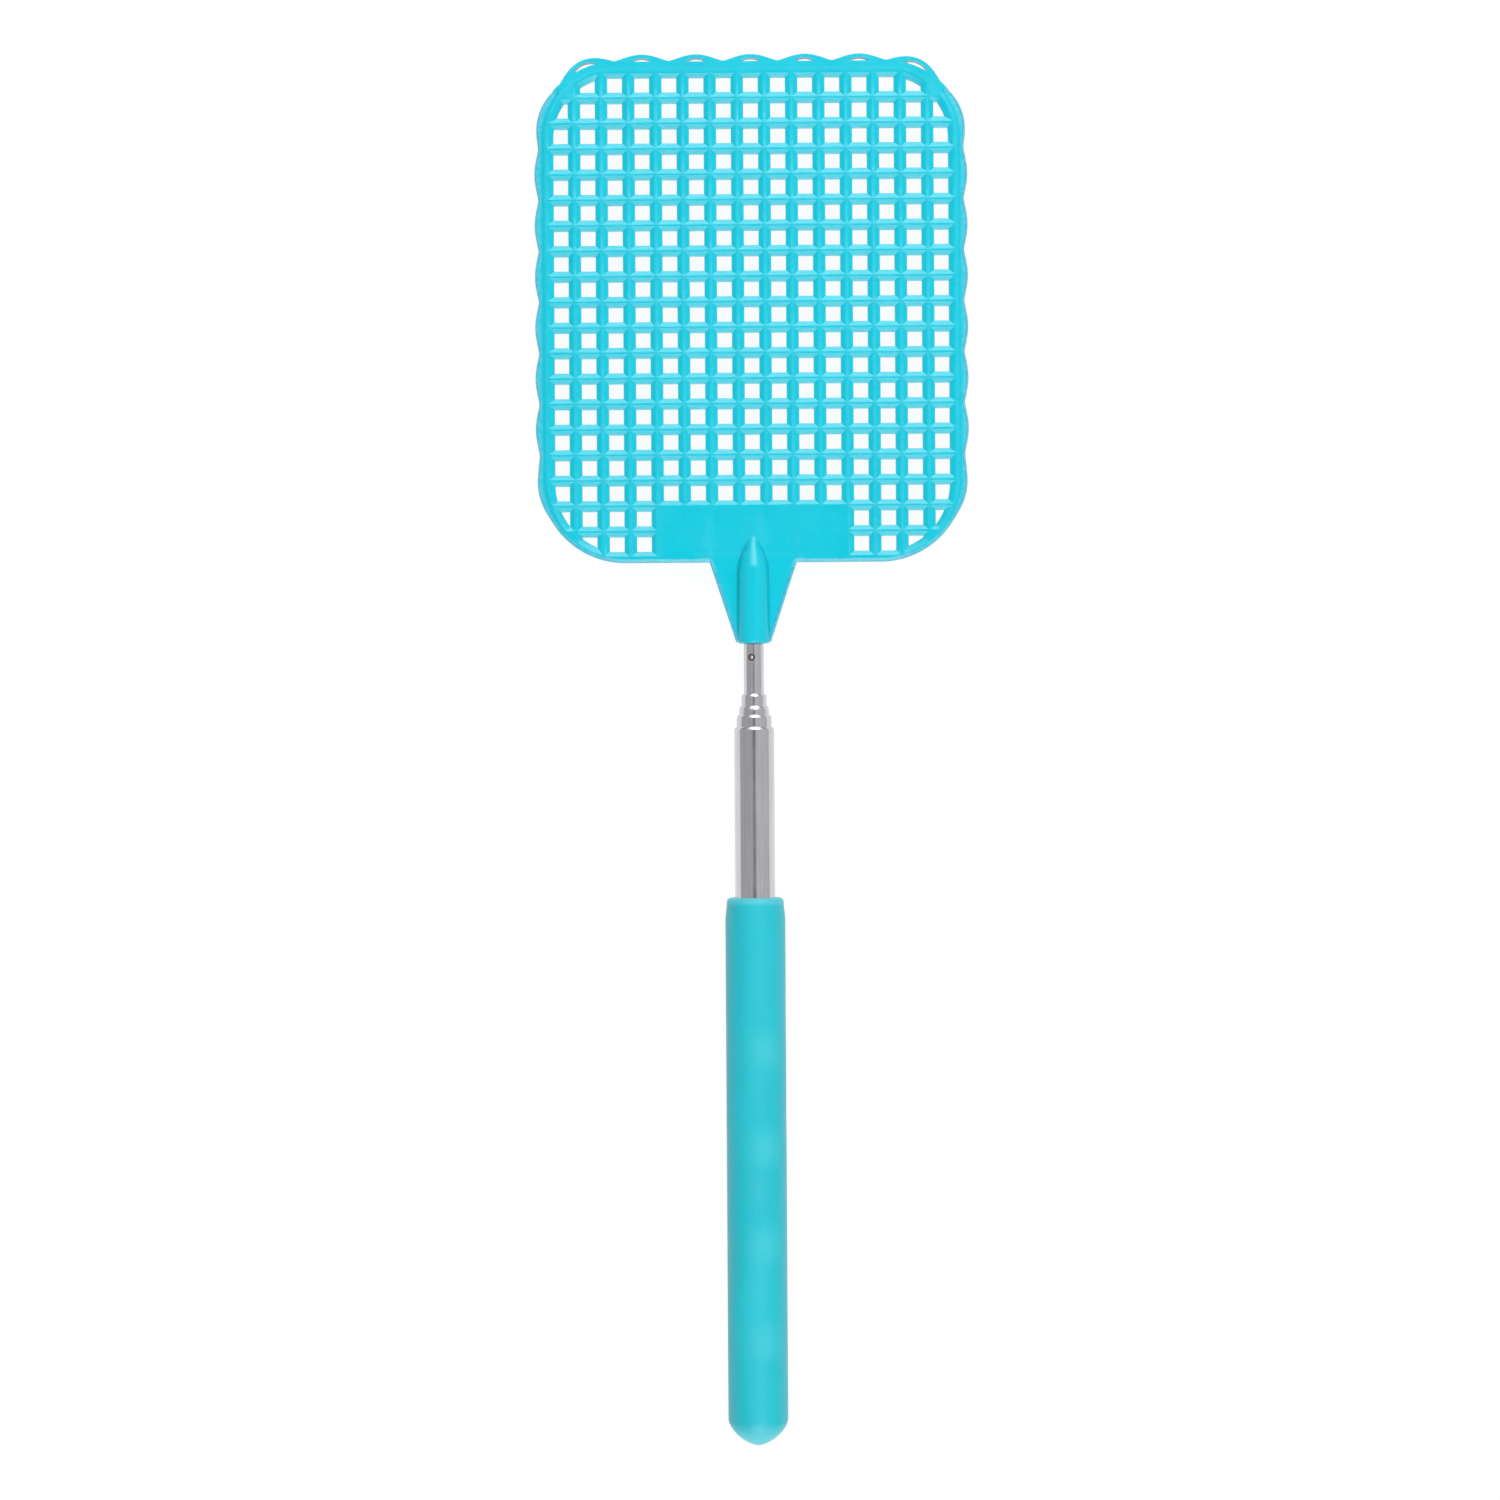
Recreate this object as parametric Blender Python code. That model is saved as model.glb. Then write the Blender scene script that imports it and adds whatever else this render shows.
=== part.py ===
"""Telescopic fly swatter, collapsed: a moulded grid head on a five-section steel pole with a soft grip.

The swatter lies on its back on the ground plane.  +Y runs along the pole towards the head, +X is to
the right and +Z is up, out of the head's front face.  The origin is under the middle of the object.
Each thinner pole section slides out of the one below it on two friction shims and spins inside them.
Lengths are in metres.
"""

import math

import bmesh
import bpy
from mathutils import Matrix, Vector
from mathutils.geometry import tessellate_polygon

MM = 0.001

# Pole
AXIS_Z = 6.0 * MM                  # height of the pole's axis above the ground
FACETS = 24                        # sides of every tube, shim and plug
SECTIONS = 5
OUTER_RADIUS = 4.0 * MM            # of the thickest section
RADIUS_STEP = 0.5 * MM             # from one section to the next
WALL = 0.25 * MM
SECTION_TOPS = (4.6 * MM, 7.0 * MM, 8.8 * MM, 11.2 * MM, 22.9 * MM)
OUTER_FOOT = -134.0 * MM           # lower end of the thickest section
INNER_FOOT = -131.0 * MM           # lower end of the four sections inside it
LIP_CLEARANCE = 0.06 * MM          # between a rolled-in lip and the next section
LIP_DEPTH = 1.2 * MM               # height of the rolled-in shoulder

# Swaged foot of a sliding section, which holds the two friction shims
BEAD_HEIGHT = 0.18 * MM            # of the foot flare and the bead over the section's wall
FLARE_LENGTH = 2.0 * MM
SHIM_START = 2.8 * MM
SHIM_LENGTH = 16.0 * MM
SHIM_INNER = 0.055 * MM            # from the section's wall to the shim
SHIM_WALL = 0.09 * MM
SHIM_FACETS = 10                   # of the 24 sides that each half shim covers
BEAD_START = 19.6 * MM
BEAD_END = 21.5 * MM

# Plugs and pin
END_PLUG_RADIUS = 3.65 * MM
END_PLUG_TOP = -131.6 * MM
CHAMFER = 0.4 * MM
TIP_SHANK_RADIUS = 1.7 * MM
TIP_SHANK_FOOT = 14.6 * MM
TIP_SHOULDER = 22.8 * MM
TIP_STUD_RADIUS = 1.5 * MM
TIP_STUD_TOP = 36.0 * MM
PIN_Y = 18.5 * MM
PIN_TILT = math.radians(14.0)      # the pin stands a little to the left of the front
PIN_RADIUS = 0.45 * MM
PIN_HOLE_RADIUS = 0.52 * MM
PIN_FOOT = 0.95 * MM               # distances from the pole's axis
PIN_HOLE_FOOT = 0.80 * MM
PIN_HEAD = 2.0 * MM
PIN_SIDES = 12

# Grip
GRIP_FACETS = 32
GRIP_RADIUS = 6.0 * MM
GRIP_TOP = -29.5 * MM
GRIP_MOUTH_RADIUS = 5.7 * MM
GRIP_MOUTH_EDGE = 0.5 * MM
GRIP_SWELL = 4.5 * MM              # length over which the mouth grows to the full radius
GRIP_BORE = 4.06 * MM
GRIP_BORE_FOOT = -134.4 * MM
GRIP_NOSE_START = -133.7 * MM
GRIP_END = -139.0 * MM
NOSE_POWER = 1.6                   # superellipse power of the blunt nose
NOSE_STEPS = 7

# Head outline: a rounded rectangle with scallops along its top and sides
HEAD_HALF_WIDTH = 42.55 * MM
HEAD_TOP = 137.7 * MM
HEAD_FOOT = 37.5 * MM
HEAD_THICKNESS = 2.4 * MM
TOP_CORNER = 15.3 * MM
LOW_CORNER = 17.0 * MM
TOP_LOBE = 1.3 * MM                # scallop heights
CORNER_LOBE = 1.45 * MM
SHOULDER_LOBE = 0.6 * MM
SIDE_LOBE = 0.75 * MM
LAST_LOBE = 0.5 * MM
SIDE_LOBE_START = 120.3 * MM       # height of the first valley below the top corner
SIDE_LOBES = 6
LAST_LOBE_ANGLE = math.radians(30.0)
LOBE_POWER = 1.2                   # round crests and narrow valleys
LOBE_STEPS = 8                     # edges along each scallop
FOOT_STEPS = 8                     # edges along the plain lower corner

# Head grid
PITCH_X = 5.43 * MM
PITCH_Y = 5.10 * MM
COLUMNS = 7                        # on each side of the middle one
ROWS = 19
TOP_ROW_Y = 133.0 * MM
HOLE_HALF_X = 1.47 * MM
HOLE_HALF_Y = 1.46 * MM
RIM = 3.1 * MM                     # width of the rim along the top and sides
LOW_RIM = 2.0 * MM
PLATE_ROWS = 2                     # the lowest rows are closed in the middle by a solid plate
PLATE_COLUMNS = 3
SMALLEST_HOLE = 0.3                # share of a full hole that is still left open
ARC_STEPS = 6

# Neck: a tapered web with a round socket in it
WEB_HALF_TOP = 8.7 * MM
WEB_HALF_FOOT = 3.5 * MM
NECK_FOOT = 21.6 * MM
SOCKET_RADIUS = 3.3 * MM
SOCKET_SHOULDER = 35.5 * MM
SOCKET_NOSE = 43.8 * MM
SOCKET_EDGE = 0.3 * MM
NOSE_BLUNT = 1.8                   # power of the socket's bullet nose
COUNTERBORE_RADIUS = 2.06 * MM
COUNTERBORE_TOP = 23.2 * MM
STUD_BORE_RADIUS = 1.56 * MM
STUD_BORE_TOP = 36.6 * MM


def clear_scene():
    """Remove whatever the scene holds."""
    for obj in list(bpy.data.objects):
        bpy.data.objects.remove(obj, do_unlink=True)


def material(name, colour, roughness, metallic=0.0):
    """A Principled material with one colour."""
    mat = bpy.data.materials.new(name)
    mat.use_nodes = True
    shader = mat.node_tree.nodes["Principled BSDF"]
    shader.inputs["Base Color"].default_value = (*colour, 1.0)
    shader.inputs["Roughness"].default_value = roughness
    shader.inputs["Metallic"].default_value = metallic
    return mat


def finish_mesh(bm, name, mat, place, parent=None):
    """Turn a closed bmesh into an object whose origin is at a world point, under a parent."""
    bmesh.ops.remove_doubles(bm, verts=bm.verts, dist=1e-7)
    bmesh.ops.dissolve_degenerate(bm, edges=bm.edges, dist=1e-7)
    bmesh.ops.recalc_face_normals(bm, faces=bm.faces)
    mesh = bpy.data.meshes.new(name)
    bm.to_mesh(mesh)
    bm.free()
    mesh.shade_smooth()
    mesh.set_sharp_from_angle(angle=math.radians(35.0))
    mesh.materials.append(mat)
    obj = bpy.data.objects.new(name, mesh)
    bpy.context.collection.objects.link(obj)
    origin = Vector(place)
    if parent is not None:
        obj.parent = parent
        origin = origin - world_origin(parent)
    obj.location = origin
    return obj


def world_origin(obj):
    """World position of an object's origin, where no object in the chain is turned."""
    origin = obj.location.copy()
    while obj.parent is not None:
        obj = obj.parent
        origin += obj.location
    return origin


def turned(name, profile, mat, foot, facets=FACETS, parent=None):
    """Spin a closed (radius, y) profile about the pole's axis; y is a world coordinate."""
    bm = bmesh.new()
    start = Matrix.Rotation(math.pi / facets, 3, "Y")
    verts = [bm.verts.new(start @ Vector((radius, y - foot, 0.0))) for radius, y in profile]
    edges = [bm.edges.new(pair) for pair in zip(verts, verts[1:])]
    if profile[0][0] > 0.0:
        edges.append(bm.edges.new((verts[-1], verts[0])))
    bmesh.ops.spin(
        bm, geom=verts + edges, cent=(0.0, 0.0, 0.0), axis=(0.0, 1.0, 0.0),
        angle=2.0 * math.pi, steps=facets, use_merge=True,
    )
    return finish_mesh(bm, name, mat, (0.0, foot, AXIS_Z), parent)


def cutter(obj):
    """Show an object as a wire guide that only shapes others."""
    obj.hide_render = True
    obj.display_type = "WIRE"


def boolean(obj, tool, operation):
    """Join or cut an object with another one."""
    modifier = obj.modifiers.new(tool.name, "BOOLEAN")
    modifier.operation = operation
    modifier.solver = "EXACT"
    modifier.use_self = True
    modifier.object = tool


# ---------------------------------------------------------------- pole

def section_radius(index):
    """Outer radius of a pole section, counted from the thickest one."""
    return OUTER_RADIUS - index * RADIUS_STEP


def lip_profile(radius, top, inner):
    """Rolled-in top of a section, from its outer wall over the lip to its inner wall."""
    lip = inner - RADIUS_STEP / 2.0 + LIP_CLEARANCE
    return [
        (radius, top - 0.8 * MM),
        (radius - 0.03 * MM, top - 0.4 * MM),
        (radius - 0.13 * MM, top - 0.12 * MM),
        (radius - 0.28 * MM, top),
        (lip, top - 0.05 * MM),
        (lip, top - 0.9 * MM),
        (inner, top - LIP_DEPTH),
    ]


def foot_profile(radius, inner, foot):
    """Swaged foot of a sliding section, from its inner wall to its outer wall above the bead."""
    proud = radius + BEAD_HEIGHT
    ease = 0.3 * MM
    return [
        (inner, foot),
        (proud - ease / 2.0, foot),
        (proud, foot + ease),
        (proud, foot + FLARE_LENGTH - ease),
        (radius, foot + FLARE_LENGTH),
        (radius, foot + BEAD_START),
        (proud, foot + BEAD_START + ease),
        (proud, foot + BEAD_END - ease),
        (radius, foot + BEAD_END),
    ]


def build_section(index, mat, parent):
    """One tube of the pole."""
    radius = section_radius(index)
    inner = radius - WALL
    top = SECTION_TOPS[index]
    if index == 0:
        foot = OUTER_FOOT
        profile = [(inner, foot), (radius, foot)]
    else:
        foot = INNER_FOOT
        profile = foot_profile(radius, inner, foot)
    if index < SECTIONS - 1:
        profile += lip_profile(radius, top, inner)
    else:
        profile += [(radius, top - WALL), (radius - WALL / 2.0, top), (inner, top)]
    return turned(f"pole_section_{index + 1}", profile, mat, foot, parent=parent)


def build_shims(index, mat, parent):
    """The two half-round friction shims seated on the foot of a sliding section."""
    inner = section_radius(index) + SHIM_INNER
    outer = inner + SHIM_WALL
    start = INNER_FOOT + SHIM_START
    facet = 2.0 * math.pi / FACETS
    for letter, first in (("a", 0), ("b", FACETS // 2)):
        bm = bmesh.new()
        turn = Matrix.Rotation(facet * (first + 1.5), 3, "Y")
        corners = ((inner, 0.0), (outer, 0.0), (outer, SHIM_LENGTH), (inner, SHIM_LENGTH))
        verts = [bm.verts.new(turn @ Vector((radius, y, 0.0))) for radius, y in corners]
        face = bm.faces.new(verts)
        bmesh.ops.spin(
            bm, geom=[face], cent=(0.0, 0.0, 0.0), axis=(0.0, 1.0, 0.0),
            angle=facet * SHIM_FACETS, steps=SHIM_FACETS,
        )
        finish_mesh(bm, f"friction_shim_{index + 1}{letter}", mat, (0.0, start, AXIS_Z), parent)


def build_end_plug(mat, parent):
    """Plug pressed into the lower end of the thickest section."""
    profile = [
        (0.0, OUTER_FOOT),
        (END_PLUG_RADIUS - CHAMFER, OUTER_FOOT),
        (END_PLUG_RADIUS, OUTER_FOOT + CHAMFER),
        (END_PLUG_RADIUS, END_PLUG_TOP - CHAMFER),
        (END_PLUG_RADIUS - CHAMFER, END_PLUG_TOP),
        (0.0, END_PLUG_TOP),
    ]
    turned("tube_end_plug", profile, mat, OUTER_FOOT, parent=parent)


def build_tip_plug(mat, parent):
    """Turned plug that joins the thinnest section to the head's socket."""
    profile = [
        (0.0, TIP_SHANK_FOOT),
        (TIP_SHANK_RADIUS - CHAMFER, TIP_SHANK_FOOT),
        (TIP_SHANK_RADIUS, TIP_SHANK_FOOT + CHAMFER),
        (TIP_SHANK_RADIUS, TIP_SHOULDER),
        (TIP_STUD_RADIUS, TIP_SHOULDER + CHAMFER),
        (TIP_STUD_RADIUS, TIP_STUD_TOP - CHAMFER),
        (TIP_STUD_RADIUS - CHAMFER, TIP_STUD_TOP),
        (0.0, TIP_STUD_TOP),
    ]
    return turned("tip_plug", profile, mat, TIP_SHANK_FOOT, parent=parent)


def radial_peg(name, radius, low, high, mat, parent):
    """A peg across the pole at the pin's place, between two distances from the axis."""
    bm = bmesh.new()
    upright = Matrix.Translation((0.0, 0.0, (low + high) / 2.0))
    bmesh.ops.create_cone(
        bm, cap_ends=True, segments=PIN_SIDES, radius1=radius, radius2=radius,
        depth=high - low, matrix=Matrix.Rotation(-PIN_TILT, 4, "Y") @ upright,
    )
    return finish_mesh(bm, name, mat, (0.0, PIN_Y, AXIS_Z), parent)


# ---------------------------------------------------------------- grip

def build_grip(mat):
    """Soft sleeve with a closed, blunt end."""
    side = GRIP_RADIUS / math.cos(math.pi / GRIP_FACETS)
    profile = [
        (GRIP_BORE, GRIP_TOP),
        (GRIP_MOUTH_RADIUS - GRIP_MOUTH_EDGE, GRIP_TOP),
        (GRIP_MOUTH_RADIUS, GRIP_TOP - GRIP_MOUTH_EDGE),
        (GRIP_MOUTH_RADIUS + 0.05 * MM, GRIP_TOP - 2.0 * MM),
        (side, GRIP_TOP - GRIP_SWELL),
        (side, GRIP_NOSE_START),
    ]
    length = GRIP_NOSE_START - GRIP_END
    for step in range(1, NOSE_STEPS + 1):
        along = math.sin(0.5 * math.pi * step / NOSE_STEPS)
        radius = side * max(0.0, 1.0 - along ** NOSE_POWER) ** (1.0 / NOSE_POWER)
        profile.append((radius, GRIP_NOSE_START - length * along))
    profile[-1] = (0.0, GRIP_END)
    blind_bore = [(0.0, GRIP_BORE_FOOT), (GRIP_BORE, GRIP_BORE_FOOT)]
    return turned("grip_sleeve", blind_bore + profile, mat, GRIP_BORE_FOOT, facets=GRIP_FACETS)


# ---------------------------------------------------------------- head

def corner_arc(centre, radius, start, stop, steps):
    """Points and outward normals round a corner, from one angle to another."""
    points = []
    for step in range(steps + 1):
        angle = start + (stop - start) * step / steps
        normal = Vector((math.cos(angle), math.sin(angle)))
        points.append((centre + radius * normal, normal))
    return points


def lobes():
    """Scallops down the right-hand side, as (start, end, height) along the outline from its top middle."""
    straight = HEAD_HALF_WIDTH - TOP_CORNER
    corner = TOP_CORNER * math.pi / 2.0
    side_start = straight + corner
    spans = [(PITCH_X * (2 * k - 1), PITCH_X * (2 * k + 1), TOP_LOBE) for k in range(3)]
    shoulder = straight + corner / 2.0
    first_valley = side_start + (HEAD_TOP - TOP_CORNER - SIDE_LOBE_START)
    spans.append((spans[-1][1], shoulder, CORNER_LOBE))
    spans.append((shoulder, first_valley, SHOULDER_LOBE))
    for k in range(SIDE_LOBES):
        valley = first_valley + 2.0 * PITCH_Y * k
        spans.append((valley, valley + 2.0 * PITCH_Y, SIDE_LOBE))
    side_end = side_start + HEAD_TOP - TOP_CORNER - HEAD_FOOT - LOW_CORNER
    spans.append((spans[-1][1], side_end + LOW_CORNER * LAST_LOBE_ANGLE, LAST_LOBE))
    return spans


def lobe_height(travel, spans):
    """How far the scalloped edge stands out at a distance along the outline."""
    for start, end, height in spans:
        if start <= travel <= end:
            swell = math.sin(math.pi * (travel - start) / (end - start))
            return height * max(swell, 0.0) ** LOBE_POWER
    return 0.0


def sampled_travels(spans):
    """Distances along the outline's right half, with every scallop's valley and crest among them."""
    travels = []
    for start, end, _ in spans:
        travels += [start + (end - start) * k / LOBE_STEPS for k in range(LOBE_STEPS)]
    travels = [travel for travel in travels if travel >= 0.0]
    last = spans[-1][1]
    foot = LOW_CORNER * math.pi / 2.0 - LOW_CORNER * LAST_LOBE_ANGLE
    travels += [last + foot * k / FOOT_STEPS for k in range(FOOT_STEPS + 1)]
    return travels


def outline_point(travel):
    """Point on the plain outline and its outward normal, at a distance from the top middle."""
    top_centre = Vector((HEAD_HALF_WIDTH - TOP_CORNER, HEAD_TOP - TOP_CORNER))
    low_centre = Vector((HEAD_HALF_WIDTH - LOW_CORNER, HEAD_FOOT + LOW_CORNER))
    quarter = math.pi / 2.0
    if travel <= top_centre.x:
        return Vector((travel, HEAD_TOP)), Vector((0.0, 1.0))
    travel -= top_centre.x
    if travel <= TOP_CORNER * quarter:
        return corner_arc(top_centre, TOP_CORNER, quarter - travel / TOP_CORNER, 0.0, 1)[0]
    travel -= TOP_CORNER * quarter
    if travel <= top_centre.y - low_centre.y:
        return Vector((HEAD_HALF_WIDTH, top_centre.y - travel)), Vector((1.0, 0.0))
    travel -= top_centre.y - low_centre.y
    return corner_arc(low_centre, LOW_CORNER, -travel / LOW_CORNER, 0.0, 1)[0]


def head_outline():
    """Scalloped outline of the head with the tapered web of its neck."""
    spans = lobes()
    right = []
    for travel in sampled_travels(spans):
        point, normal = outline_point(travel)
        right.append(point + normal * lobe_height(travel, spans))
    right.append(Vector((WEB_HALF_TOP, HEAD_FOOT)))
    right.append(Vector((WEB_HALF_FOOT, NECK_FOOT)))
    left = [Vector((-point.x, point.y)) for point in reversed(right[1:])]
    return right + left


def hole_limit():
    """Inner edge of the rim, which cuts the holes at the corners."""
    half_x = HEAD_HALF_WIDTH - RIM
    top = HEAD_TOP - RIM
    foot = HEAD_FOOT + LOW_RIM
    top_radius = TOP_CORNER - RIM
    low_radius = LOW_CORNER - RIM
    quarter = math.pi / 2.0
    loop = []
    for side, end, radius, start in (
        (1, top, top_radius, 0.0), (-1, top, top_radius, quarter),
        (-1, foot, low_radius, 2.0 * quarter), (1, foot, low_radius, 3.0 * quarter),
    ):
        inward = -1 if end == top else 1
        centre = Vector((side * (half_x - radius), end + inward * radius))
        loop += [point for point, _ in corner_arc(centre, radius, start, start + quarter, ARC_STEPS)]
    return loop


def clip(polygon, limit):
    """Part of a convex polygon inside a convex, anticlockwise loop."""
    for a, b in zip(limit, limit[1:] + limit[:1]):
        edge = b - a
        kept = []
        for p, q in zip(polygon, polygon[1:] + polygon[:1]):
            side_p = edge.cross(p - a)
            side_q = edge.cross(q - a)
            if side_p >= 0.0:
                kept.append(p)
            if side_p * side_q < 0.0:
                kept.append(p + (q - p) * (side_p / (side_p - side_q)))
        polygon = kept
    return polygon


def area(polygon):
    """Area of a polygon."""
    return abs(sum(p.cross(q) for p, q in zip(polygon, polygon[1:] + polygon[:1]))) / 2.0


def grid_holes():
    """Outline of each hole in the head."""
    limit = hole_limit()
    full = 4.0 * HOLE_HALF_X * HOLE_HALF_Y
    holes = []
    for row in range(ROWS):
        for column in range(-COLUMNS, COLUMNS + 1):
            if row >= ROWS - PLATE_ROWS and abs(column) <= PLATE_COLUMNS:
                continue
            x = column * PITCH_X
            y = TOP_ROW_Y - row * PITCH_Y
            square = [
                Vector((x + sx * HOLE_HALF_X, y + sy * HOLE_HALF_Y))
                for sx, sy in ((-1, -1), (1, -1), (1, 1), (-1, 1))
            ]
            hole = clip(square, limit)
            if len(hole) > 2 and area(hole) > SMALLEST_HOLE * full:
                holes.append(hole)
    return holes


def slab(name, loops, thickness, mat, parent):
    """A flat plate from an outline and its holes, centred on the pole's axis."""
    bm = bmesh.new()
    flat = [[Vector((p.x, p.y, 0.0)) for p in loop] for loop in loops]
    triangles = tessellate_polygon(flat)
    layers = []
    for z in (-thickness / 2.0, thickness / 2.0):
        layers.append([bm.verts.new((p.x, p.y - NECK_FOOT, z)) for loop in loops for p in loop])
    for low_high in layers:
        for triangle in triangles:
            bm.faces.new([low_high[i] for i in triangle])
    start = 0
    for loop in loops:
        for k in range(len(loop)):
            a = start + k
            b = start + (k + 1) % len(loop)
            bm.faces.new((layers[0][a], layers[0][b], layers[1][b], layers[1][a]))
        start += len(loop)
    return finish_mesh(bm, name, mat, (0.0, NECK_FOOT, AXIS_Z), parent)


def build_head(mat, parent):
    """Grid, rim, plate, web and socket as one moulding."""
    head = slab("swatter_head", [head_outline()] + grid_holes(), HEAD_THICKNESS, mat, parent)
    nose = []
    for step in range(1, ARC_STEPS + 1):
        along = step / ARC_STEPS
        radius = SOCKET_RADIUS * max(0.0, 1.0 - along ** NOSE_BLUNT)
        nose.append((radius, SOCKET_SHOULDER + along * (SOCKET_NOSE - SOCKET_SHOULDER)))
    nose[-1] = (0.0, SOCKET_NOSE)
    socket = turned("socket_form", [
        (0.0, NECK_FOOT - SOCKET_EDGE),
        (SOCKET_RADIUS - SOCKET_EDGE, NECK_FOOT - SOCKET_EDGE),
        (SOCKET_RADIUS, NECK_FOOT),
        (SOCKET_RADIUS, SOCKET_SHOULDER),
    ] + nose, mat, NECK_FOOT, parent=parent)
    overrun = 2.0 * MM
    bore = turned("socket_bore", [
        (0.0, NECK_FOOT - overrun),
        (COUNTERBORE_RADIUS, NECK_FOOT - overrun),
        (COUNTERBORE_RADIUS, COUNTERBORE_TOP),
        (STUD_BORE_RADIUS, COUNTERBORE_TOP),
        (STUD_BORE_RADIUS, STUD_BORE_TOP),
        (0.0, STUD_BORE_TOP),
    ], mat, NECK_FOOT, parent=parent)
    for tool, operation in ((socket, "UNION"), (bore, "DIFFERENCE")):
        cutter(tool)
        boolean(head, tool, operation)
    return head


def build():
    """Build the whole swatter."""
    clear_scene()
    turquoise = (0.0, 0.60, 0.72)
    head_plastic = material("head_plastic", turquoise, 0.35)
    grip_rubber = material("grip_rubber", (0.03, 0.55, 0.66), 0.75)
    stainless = material("stainless", (0.62, 0.61, 0.64), 0.25, 1.0)
    bronze = material("bronze", (0.60, 0.38, 0.16), 0.35, 1.0)
    black_plastic = material("plug_plastic", (0.03, 0.03, 0.03), 0.5)
    plated = material("plated_steel", (0.70, 0.69, 0.66), 0.3, 1.0)

    grip = build_grip(grip_rubber)
    section = build_section(0, stainless, grip)
    build_end_plug(black_plastic, section)
    for index in range(1, SECTIONS):
        section = build_section(index, stainless, section)
        build_shims(index, bronze, section.parent)
    plug = build_tip_plug(plated, section)
    hole = radial_peg("pin_hole", PIN_HOLE_RADIUS, PIN_HOLE_FOOT, PIN_HEAD + 1.0 * MM, plated, section)
    cutter(hole)
    boolean(section, hole, "DIFFERENCE")
    boolean(plug, hole, "DIFFERENCE")
    radial_peg("tip_pin", PIN_RADIUS, PIN_FOOT, PIN_HEAD, plated, section)
    build_head(head_plastic, section)


build()
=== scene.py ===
"""Looks of the telescopic fly swatter: meshes, materials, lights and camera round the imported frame.

+Y runs along the pole towards the head, +X is to the right and +Z is up.  The pole's axis lies along Y.
Outlines and profiles are in millimetres and become metres in to_object().
"""

import math

import bmesh
import bpy
import numpy as np
from mathutils import Matrix, Vector
from mathutils.geometry import delaunay_2d_cdt


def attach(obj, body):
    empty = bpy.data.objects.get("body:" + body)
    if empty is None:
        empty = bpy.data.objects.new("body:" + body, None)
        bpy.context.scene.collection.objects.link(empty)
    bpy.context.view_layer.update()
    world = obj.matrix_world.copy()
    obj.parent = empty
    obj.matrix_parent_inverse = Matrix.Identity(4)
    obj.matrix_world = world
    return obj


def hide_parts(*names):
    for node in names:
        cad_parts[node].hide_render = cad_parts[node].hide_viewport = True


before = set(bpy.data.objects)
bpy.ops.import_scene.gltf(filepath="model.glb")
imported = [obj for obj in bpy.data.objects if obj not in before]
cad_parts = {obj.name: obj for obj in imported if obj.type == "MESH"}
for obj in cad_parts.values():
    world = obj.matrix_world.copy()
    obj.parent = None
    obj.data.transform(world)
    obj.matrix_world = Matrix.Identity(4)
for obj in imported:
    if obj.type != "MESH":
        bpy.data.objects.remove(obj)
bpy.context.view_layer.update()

MM = 0.001
AXIS_Z = 6.0  # height of the pole's axis above the floor
TURN = 2.0 * math.pi
QUARTER = 0.5 * math.pi
SHARP_ANGLE = math.radians(30.0)  # edges sharper than this stay sharp
WELD = 1e-7  # in metres

# Pole
LATHE_SIDES = 96
SECTIONS = 5
OUTER_RADIUS = 4.0
RADIUS_STEP = 0.5
WALL = 0.25
SECTION_TOPS = (4.6, 7.0, 8.8, 11.2, 22.9)
OUTER_FOOT = -134.0
INNER_FOOT = -131.0
LIP_CLEARANCE = 0.06
LIP_DEPTH = 1.2
LIP_HEIGHTS = (0.8, 0.8, 1.5, 0.7)  # how far each rolled shoulder reaches down
LIP_ROLL = 0.36  # how far the shoulder draws in
LIP_STEPS = 8
LIP_EDGE = 0.05  # the rolled lip's inner edge, below its top
LIP_LENGTH = 0.9
BEAD_HEIGHT = 0.18
BEAD_EASE = 0.3
FLARE_LENGTH = 2.0
FLARE_LEAD = 0.15  # how far a section's foot draws in
BEAD_START = 19.6
BEAD_END = 21.5

# Pin
PIN_Y = 18.5
PIN_TILT = math.radians(14.0)
PEG_SIDES = 32
PIN_BAND = 1.1  # distance from the pin to the rings beside it
PIN_PROFILE = (  # radius and distance from the pole's axis, from foot to crown
    (0.40, 0.95), (0.45, 1.00), (0.45, 1.71), (0.67, 1.71), (0.70, 1.74), (0.70, 1.83), (0.66, 1.85),
    (0.56, 1.80), (0.46, 1.76), (0.38, 1.77), (0.33, 1.83), (0.26, 1.89), (0.14, 1.93),
)
PIN_HOLE = ((0.72, 0.8), (0.72, 3.0))  # the same for the cut it sits in
PIN_DOME = 0.36  # outside this radius the pin is painted near-black as shade in its groove

# Grip
GRIP_RADIUS = 6.0
GRIP_TOP = -29.5
GRIP_MOUTH_RADIUS = 5.7
GRIP_EDGE = 0.9  # rounding of the mouth
GRIP_EDGE_STEPS = 6
GRIP_SWELL = 4.5  # length over which the mouth widens
SWELL_SHARES = (0.3, 0.6, 0.8, 1.0)
GRIP_BORE = 4.06
BORE_EDGE = 0.2
GRIP_SKIN = GRIP_BORE + 1.0  # rings wider than this are on the outside
GRIP_BORE_FOOT = -134.4
GRIP_NOSE_START = -133.7
GRIP_END = -139.0
NOSE_POWER = 1.6
NOSE_STEPS = 20
GRIP_RING_STEP = 0.8
FINGER_PITCH = 19.3
FINGER_CREST = -62.5  # height of the first finger swell
FINGER_DEPTH = 0.45
FINGER_TURN = math.radians(14.0)  # the swells face a little to the right
FINGER_WAVES = 4
FINGER_SHEEN_SHIFT = 3.0  # how far above a swell's crest the painted highlight is strongest
FINGER_SHEEN_FADE = 2.0
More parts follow.
